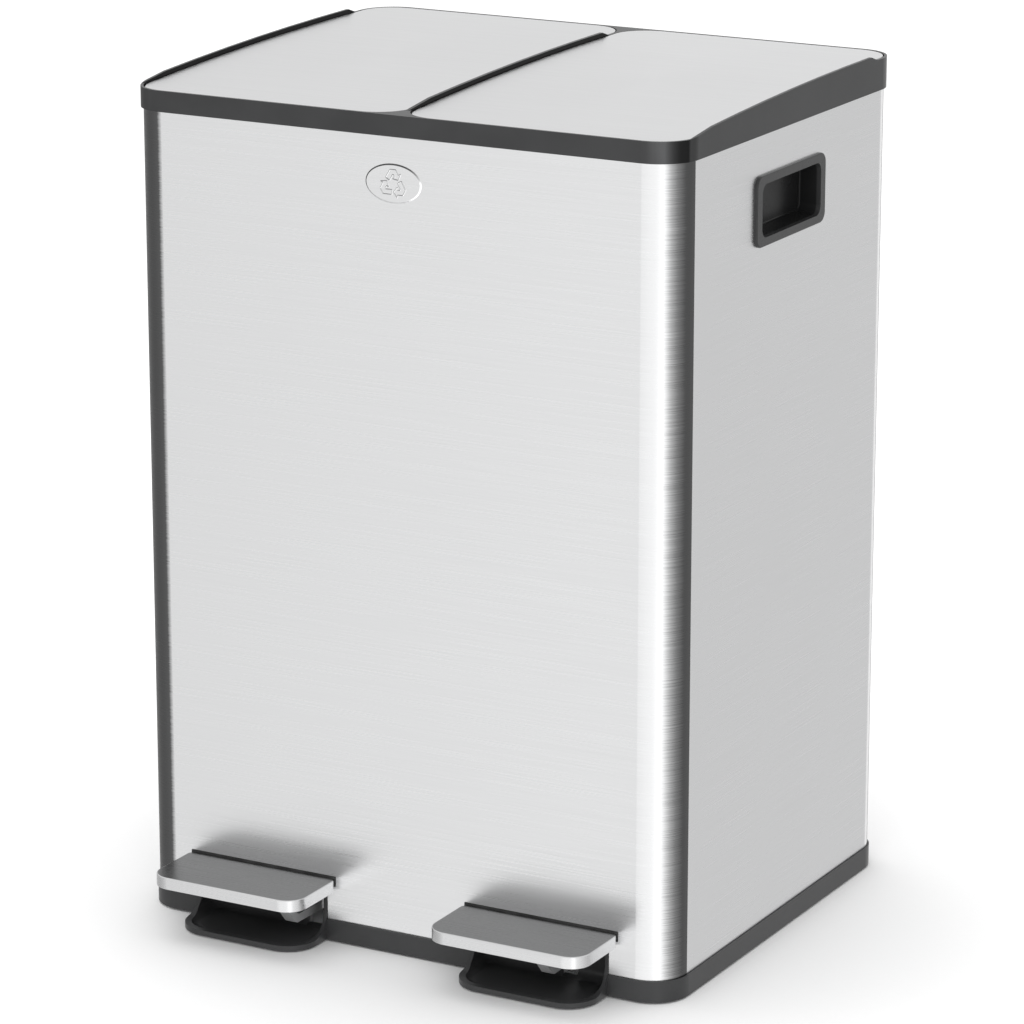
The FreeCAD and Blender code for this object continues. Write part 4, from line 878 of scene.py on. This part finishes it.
# ------------------------------------------------------------------------------------------ sub-assemblies
@dataclass
class Sign:
    """Oval field and sorting sign embossed in the front: three bent arrows that chase each other. Its edges
    and arrows carry painted highlight and shade.
    """

    centre_x: float = -1.0 * MM
    centre_z: float = 577.4 * MM
    width: float = 45.5 * MM
    height: float = 28.4 * MM
    slope: float = 1.1 * MM            # width of the field's sloping edge
    slope_rings: int = 7
    rim_points: int = 180
    proud: float = 0.7 * MM
    line_bead: float = 0.8 * MM
    line_proud: float = 0.34 * MM
    root: float = 0.2 * MM
    arrow_size: float = 11.1 * MM      # from the middle to a corner of the arrows' middle line
    # the rest are shares of arrow_size
    arrow_half: float = 0.16           # half width of an arrow
    tail: float = 0.78                 # from the triangle's top back to the arrow's tail
    blunt: float = 0.24                # cut off the triangle's top on both sides
    neck: float = 0.54                 # from the triangle's top on to the arrow's head
    head_half: float = 0.36
    head_length: float = 0.28
    drop: float = 0.05                 # of the arrows' middle under the field's
    spacing: float = 0.06              # between the points of an outline
    rounding: float = 0.05             # of its corners

    def to_front(self, flat: np.ndarray, lift: float = 0.0) -> np.ndarray:
        """Lays (x, z) points on the front face.

        Args:
            flat: (n, 2) points from the sign's middle.
            lift: distance in front of the face.

        Returns:
            (n, 3) points.
        """
        y = np.full(len(flat), FRONT_Y - lift)
        return np.stack([flat[:, 0] + self.centre_x, y, flat[:, 1] + self.centre_z], axis=1)

    def field_shape(self) -> tuple[np.ndarray, list]:
        """Raised oval: rings up a rounded slope, closed by a flat on both sides.

        At a share s of the slope, inset = slope * s and lift = proud * (3 * s^2 - 2 * s^3).

        Returns:
            Vertices and faces.
        """
        t = np.linspace(0.0, 2 * math.pi, self.rim_points, endpoint=False)
        share = np.linspace(0.0, 1.0, self.slope_rings)
        lifts = self.proud * (3 * share ** 2 - 2 * share ** 3)
        insets = np.concatenate([[0.0], self.slope * share])
        lifts = np.concatenate([[-self.root], lifts])
        rings = []
        for inset, lift in zip(insets, lifts):
            half_width = self.width / 2 - inset
            half_height = self.height / 2 - inset
            oval = np.stack([half_width * np.cos(t), half_height * np.sin(t)], axis=1)
            rings.append(self.to_front(oval, lift))
        return np.concatenate(rings), rings_to_faces(len(rings), len(t))

    def arrow(self) -> np.ndarray:
        """Outline of the top arrow, in shares of arrow_size.

        The middle line climbs the left side of a triangle, turns over its blunted top and runs down the
        right side. The outline is that line offset both ways, with a head at its end.

        Returns:
            (n, 2) polygon.
        """
        up = np.array([0.5, math.sqrt(0.75)])
        down = np.array([0.5, -math.sqrt(0.75)])
        top = np.array([0.0, 1.0])
        line = np.array([top - self.tail * up, top - self.blunt * up, top + self.blunt * down,
                         top + self.neck * down])
        normals = [np.array([-up[1], up[0]]), np.array([0.0, 1.0]), np.array([-down[1], down[0]])]
        outer, inner = [], []
        for k, point in enumerate(line):
            first = normals[max(k - 1, 0)]
            second = normals[min(k, 2)]
            mean = first + second
            mean = mean / (mean @ first)
            outer.append(point + self.arrow_half * mean)
            inner.append(point - self.arrow_half * mean)
        end, normal = line[-1], normals[-1]
        head = [end + self.head_half * normal, end + self.head_length * down,
                end - self.head_half * normal]
        return np.array(outer + head + inner[::-1])

    def build(self, finish: bpy.types.Material, edge_light_and_shade_finish: bpy.types.Material) -> list[str]:
        """Builds the field and the three arrows.

        Args:
            finish: the steel of the body.
            edge_light_and_shade_finish: the steel with painted highlight and shade by facing, for the sign's
                edges and arrows.

        Returns:
            The pieces' names.
        """
        vertices, faces = self.field_shape()
        field_piece = make_piece("sign_field", vertices, faces, "body", finish)
        field_piece.data.materials.append(edge_light_and_shade_finish)
        slots = np.ones(len(faces), dtype=np.int32)
        slots[-2:] = 0
        field_piece.data.polygons.foreach_set("material_index", slots)
        names = [field_piece.name]
        profile = bead_profile(self.line_bead, self.line_proud, self.root, steps=7)
        for k in range(3):
            turn = -k * 2 * math.pi / 3
            spin = np.array([[math.cos(turn), math.sin(turn)], [-math.sin(turn), math.cos(turn)]])
            outline = resample(self.arrow() @ spin, self.spacing, self.rounding) * self.arrow_size
            outline[:, 1] -= self.drop * self.arrow_size
            path = self.to_front(outline, self.proud)
            vertices, quads = closed_band(path, np.array([0.0, -1.0, 0.0]), profile)
            name = "sign_arrow_%d" % (k + 1)
            make_piece(name, vertices, quads.tolist(), "body", edge_light_and_shade_finish)
            names.append(name)
        return names


@dataclass
class PedalShadowStrips:
    """Thin dark rubber strips on the steel that the pedals' back edges come up against. The part of each that
    shows above its pedal is painted shade: it stands in for the shadow line in the gap there.
    """

    reach: tuple[float, float] = (54.5 * MM, 180.5 * MM)
    low: float = 43.0 * MM
    high: float = 51.0 * MM
    proud: float = 0.25 * MM
    root: float = 0.2 * MM
    rounding: float = 0.8 * MM
    spacing: float = 4.0 * MM

    def build(self, finish: bpy.types.Material) -> list[str]:
        """Builds a strip behind each pedal.

        Args:
            finish: their rubber.

        Returns:
            The pieces' names.
        """
        names = []
        for side in Side:
            x0, x1 = sorted(side.value * reach for reach in self.reach)
            corners = np.array([[x0, self.low], [x1, self.low], [x1, self.high], [x0, self.high]])
            outline = resample(corners, self.spacing, self.rounding)
            vertices, faces = prism(outline, FRONT_Y + self.root, FRONT_Y - self.proud)
            name = "pedal_shadow_strip_" + side.word
            make_piece(name, vertices, faces, "body", finish)
            names.append(name)
        return names


@dataclass
class BackHardware:
    """Blind rivets that hold the sheet to base and collar, and the spot welds of its lap seam."""

    columns: tuple[float, ...] = (-172.0 * MM, -62.0 * MM, 62.0 * MM, 172.0 * MM)
    rows: tuple[float, ...] = (32.0 * MM, 606.5 * MM)
    welds: int = 9
    weld_margin: float = 30.0 * MM     # from the rivets' rows
    seam_proud: float = 0.6 * MM
    # turned profiles in millimetres, as (radius, lift off the face)
    rivet: tuple = ((3.1, -0.2), (3.1, 0.2), (2.8, 0.55), (2.1, 0.82), (1.2, 0.95), (1.05, 0.9), (1.0, 0.4))
    weld: tuple = ((2.3, -0.1), (2.2, 0.07), (1.8, 0.12), (1.3, 0.05), (0.6, 0.03))

    def build(self, rivet_finish: bpy.types.Material, weld_finish: bpy.types.Material) -> list[str]:
        """Builds rivets and welds.

        Args:
            rivet_finish: the rivets' metal.
            weld_finish: the sheet's metal.

        Returns:
            The pieces' names.
        """
        names = []
        places = [(x, BACK_Y, z) for x in self.columns for z in self.rows]
        for number, place in enumerate(places, 1):
            vertices, faces = lathe(np.array(self.rivet) * MM, place)
            names.append("rivet_%d" % number)
            make_piece(names[-1], vertices, faces, "body", rivet_finish)
        heights = np.linspace(self.rows[0] + self.weld_margin, self.rows[1] - self.weld_margin, self.welds)
        for number, z in enumerate(heights, 1):
            vertices, faces = lathe(np.array(self.weld) * MM, (0.0, BACK_Y + self.seam_proud, z))
            names.append("weld_%d" % number)
            make_piece(names[-1], vertices, faces, "body", weld_finish)
        return names


@dataclass
class Body:
    """Steel body, base, deck, collar, feet, carrying grips and fixed hinge hardware."""

    sign: Sign = field(default_factory=Sign)
    # dark strips that stand in for the shadow behind the pedals
    stops: PedalShadowStrips = field(default_factory=PedalShadowStrips)
    hardware: BackHardware = field(default_factory=BackHardware)

    def build(self, wardrobe: Wardrobe) -> list[str]:
        """Dresses the fixed nodes and adds the sign, the pedal stops, whose dark edge above each pedal is
        painted shadow, and the back's hardware.

        Args:
            wardrobe: the finishes.

        Returns:
            The names of the pieces dressed or made.
        """
        names = wardrobe.dress({"body_shell": "steel", "base_tray": "black_plastic",
                                "bucket_deck": "black_plastic", "top_collar": "collar_plastic",
                                "rubber_feet": "foot_rubber", "lid_bumpers": "foot_rubber"})
        fittings = {"hinge_pins_": "zinc_steel", "pivot_pin_": "zinc_steel",
                    "rod_guides_": "guide_plastic", "side_grip_": "handle_plastic"}
        for side in Side:
            names += wardrobe.dress(fittings, side.word)
        # the sign's edges and arrows carry painted highlight and shade
        names += self.sign.build(wardrobe.get("steel"), wardrobe.get("steel_pressed"))
        # dark strips that stand in for the shadow line behind each pedal
        names += self.stops.build(wardrobe.get("foot_rubber"))
        names += self.hardware.build(wardrobe.get("zinc_steel"), wardrobe.get("steel"))
        return names


@dataclass
class Lid:
    """One lid: brushed sheet on a moulded frame."""

    side: Side

    def build(self, wardrobe: Wardrobe) -> list[str]:
        """Dresses the lid's nodes and returns their names."""
        return wardrobe.dress({"lid_panel_": "steel_lid", "lid_frame_": "black_plastic"}, self.side.word)


@dataclass
class PedalChain:
    """One pedal with its lever, screw, lift rod and rod head."""

    side: Side

    def build(self, wardrobe: Wardrobe) -> list[str]:
        """Dresses the chain's nodes and returns their names."""
        finishes = {"pedal_plate_": "steel_pedal", "pedal_core_": "black_plastic",
                    "pedal_screw_": "zinc_steel", "lever_": "lever_steel", "lift_rod_": "zinc_steel",
                    "rod_head_": "guide_plastic"}
        return wardrobe.dress(finishes, self.side.word)


@dataclass
class Bucket:
    """One lift-out bucket with its wire bail and grip sleeve."""

    side: Side

    def build(self, wardrobe: Wardrobe) -> list[str]:
        """Dresses the bucket's nodes and returns their names."""
        finishes = {"bucket_": "bucket_plastic", "bail_": "zinc_steel", "bail_grip_": "grip_plastic"}
        return wardrobe.dress(finishes, self.side.word)


# ------------------------------------------------------------------------------------------------- studio
@dataclass
class Studio:
    """Plain pale floor, soft surrounding light and two large lamps."""

    floor_size: float = 30.0
    floor_drop: float = 0.4 * MM       # under the feet
    glow_reach: tuple = (0.2, 0.6)     # distances from the middle where the floor's glow starts and is full
    glow: float = 0.3
    # (degrees from +X towards +Y, brightness) of the walls round the bin, as metal sees them
    walls: tuple = ((-180, 0.55), (-150, 0.62), (-130, 0.78), (-124, 0.87), (-117, 1.08), (-105, 1.2),
                    (-62, 1.2), (-55, 1.7), (-43, 1.7), (-36, 1.1), (-12, 0.95), (30, 0.66), (60, 0.74),
                    (74, 0.78), (88, 1.12), (108, 1.1), (120, 0.82), (146, 0.62), (180, 0.55))
    ceiling: float = 0.9
    wall_tops: tuple = (0.1, 0.35)     # Z of the direction where the walls end and the ceiling is full
    lamp_aim: tuple = (0.0, 0.0, 0.3)

    def build(self) -> None:
        """Builds floor, surrounding light and lamps."""
        self.floor()
        self.surroundings()
        self.lamp("lamp_front", (1.2, -2.6, 2.4), size=1.8, power=22.0)
        self.lamp("lamp_above", (-0.6, 0.2, 3.0), size=2.4, power=24.0)

    def floor(self) -> None:
        """Flat pale floor just under the feet. It keeps the bin's shadow; metal sees the walls instead."""
        half = self.floor_size / 2
        mesh = bpy.data.meshes.new("floor")
        square = [(-half, -half), (half, -half), (half, half), (-half, half)]
        mesh.from_pydata([(x, y, -self.floor_drop) for x, y in square], [], [(0, 1, 2, 3)])
        floor = bpy.data.objects.new("floor", mesh)
        bpy.context.scene.collection.objects.link(floor)
        floor.visible_glossy = False
        mesh.materials.append(self.floor_material())

    def floor_material(self) -> bpy.types.Material:
        """Pale matt floor that glows to the camera away from the bin, so that it ends up white.

        Returns:
            The material.
        """
        material, graph, shader = start_material("pale_floor")
        shader.inputs["Roughness"].default_value = 0.9
        shader.inputs["Specular IOR Level"].default_value = 0.0
        speck = graph.noise(graph.scaled(), detail=2.0, roughness=0.5, scale=300.0)
        graph.link(graph.blend(speck, (0.86, 0.86, 0.86), (0.88, 0.88, 0.88)), shader.inputs["Base Color"])
        path = graph.node("ShaderNodeLightPath")
        reach = graph.node("ShaderNodeVectorMath", operation="LENGTH")
        graph.link(graph.scaled(), reach.inputs[0])
        glow = graph.node("ShaderNodeEmission", {"Color": (1.0, 1.0, 1.0, 1.0)})
        strength = graph.remap(reach.outputs["Value"], *self.glow_reach, 0.0, self.glow)
        graph.link(strength, glow.inputs["Strength"])
        both = graph.node("ShaderNodeAddShader")
        graph.link(shader.outputs[0], both.inputs[0])
        graph.link(glow.outputs[0], both.inputs[1])
        mix = graph.node("ShaderNodeMixShader")
        graph.link(path.outputs["Is Camera Ray"], mix.inputs[0])
        graph.link(shader.outputs[0], mix.inputs[1])
        graph.link(both.outputs[0], mix.inputs[2])
        output = next(n for n in graph.tree.nodes if n.type == "OUTPUT_MATERIAL")
        graph.link(mix.outputs[0], output.inputs[0])
        return material

    def surroundings(self) -> None:
        """World light: walls whose brightness follows the compass angle, under an even ceiling.

        The camera sees plain white instead.
        """
        world = bpy.data.worlds.new("studio")
        bpy.context.scene.world = world
        world.use_nodes = True
        world.node_tree.nodes.clear()
        graph = Graph(world.node_tree)
        x, y, z = graph.split("Generated")
        angle = graph.math("DEGREES", graph.math("ARCTAN2", y, x))
        walls = graph.ramp(angle, self.walls, -HALF_TURN, HALF_TURN)
        height = graph.remap(z, *self.wall_tops)
        tone = graph.math("MULTIPLY_ADD", graph.math("SUBTRACT", self.ceiling, walls), height, walls)
        path = graph.node("ShaderNodeLightPath")
        to_white = graph.math("SUBTRACT", 1.0, tone)
        seen = graph.math("MULTIPLY_ADD", to_white, path.outputs["Is Camera Ray"], tone)
        light = graph.node("ShaderNodeBackground")
        graph.link(seen, light.inputs["Color"])
        output = graph.node("ShaderNodeOutputWorld")
        graph.link(light.outputs[0], output.inputs[0])

    def lamp(self, name: str, place: tuple, size: float, power: float) -> None:
        """Adds a large soft lamp that looks at the bin's middle.

        Args:
            name: the lamp's name.
            place: where it hangs.
            size: its side.
            power: watts.
        """
        data = bpy.data.lights.new(name, "AREA")
        data.size = size
        data.energy = power
        lamp = bpy.data.objects.new(name, data)
        bpy.context.scene.collection.objects.link(lamp)
        lamp.location = place
        aim = Vector(self.lamp_aim) - Vector(place)
        lamp.rotation_euler = aim.to_track_quat("-Z", "Y").to_euler()
        lamp.visible_glossy = False


@dataclass
class Viewpoint:
    """The camera: a long lens, to the right of the front and a little above."""

    azimuth: float = math.radians(28.829)
    pitch: float = math.radians(15.657)
    distance: float = 3.4571
    aim_height: float = 0.294
    sideways: float = -4.25 * MM
    focal_pixels: float = 4600.5
    picture_pixels: float = 1024.0
    sensor: float = 36.0               # millimetres across
    clip: tuple[float, float] = (0.1, 100.0)

    def build(self) -> None:
        """Places the camera on a circle round the body's middle."""
        level = math.cos(self.pitch)
        right = np.array([math.cos(self.azimuth), math.sin(self.azimuth), 0.0])
        ahead = np.array([-right[1] * level, right[0] * level, -math.sin(self.pitch)])
        place = np.array([0.0, BODY_Y, self.aim_height]) - ahead * self.distance + right * self.sideways
        data = bpy.data.cameras.new("camera")
        data.lens = self.focal_pixels / self.picture_pixels * self.sensor
        data.sensor_width = self.sensor
        data.clip_start, data.clip_end = self.clip
        camera = bpy.data.objects.new("camera", data)
        bpy.context.scene.collection.objects.link(camera)
        camera.location = place
        camera.rotation_euler = (math.pi / 2 - self.pitch, 0.0, self.azimuth)
        bpy.context.scene.camera = camera


def main() -> None:
    """Builds the sub-assemblies in order, then the studio and the camera."""
    logging.basicConfig(level=logging.INFO, format="%(message)s")
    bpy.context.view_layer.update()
    scene = bpy.context.scene
    scene.view_settings.view_transform = "Standard"
    Effects.build()
    wardrobe = Wardrobe()
    assemblies: list[tuple[str, object]] = [("body", Body())]
    for side in Side:
        assemblies += [("lid " + side.word, Lid(side)), ("pedal chain " + side.word, PedalChain(side)),
                       ("bucket " + side.word, Bucket(side))]
    for label, assembly in assemblies:
        for name in assembly.build(wardrobe):
            LOG.info("%s: %s", label, name)
    Studio().build()
    Viewpoint().build()


if __name__ == "__main__":
    main()
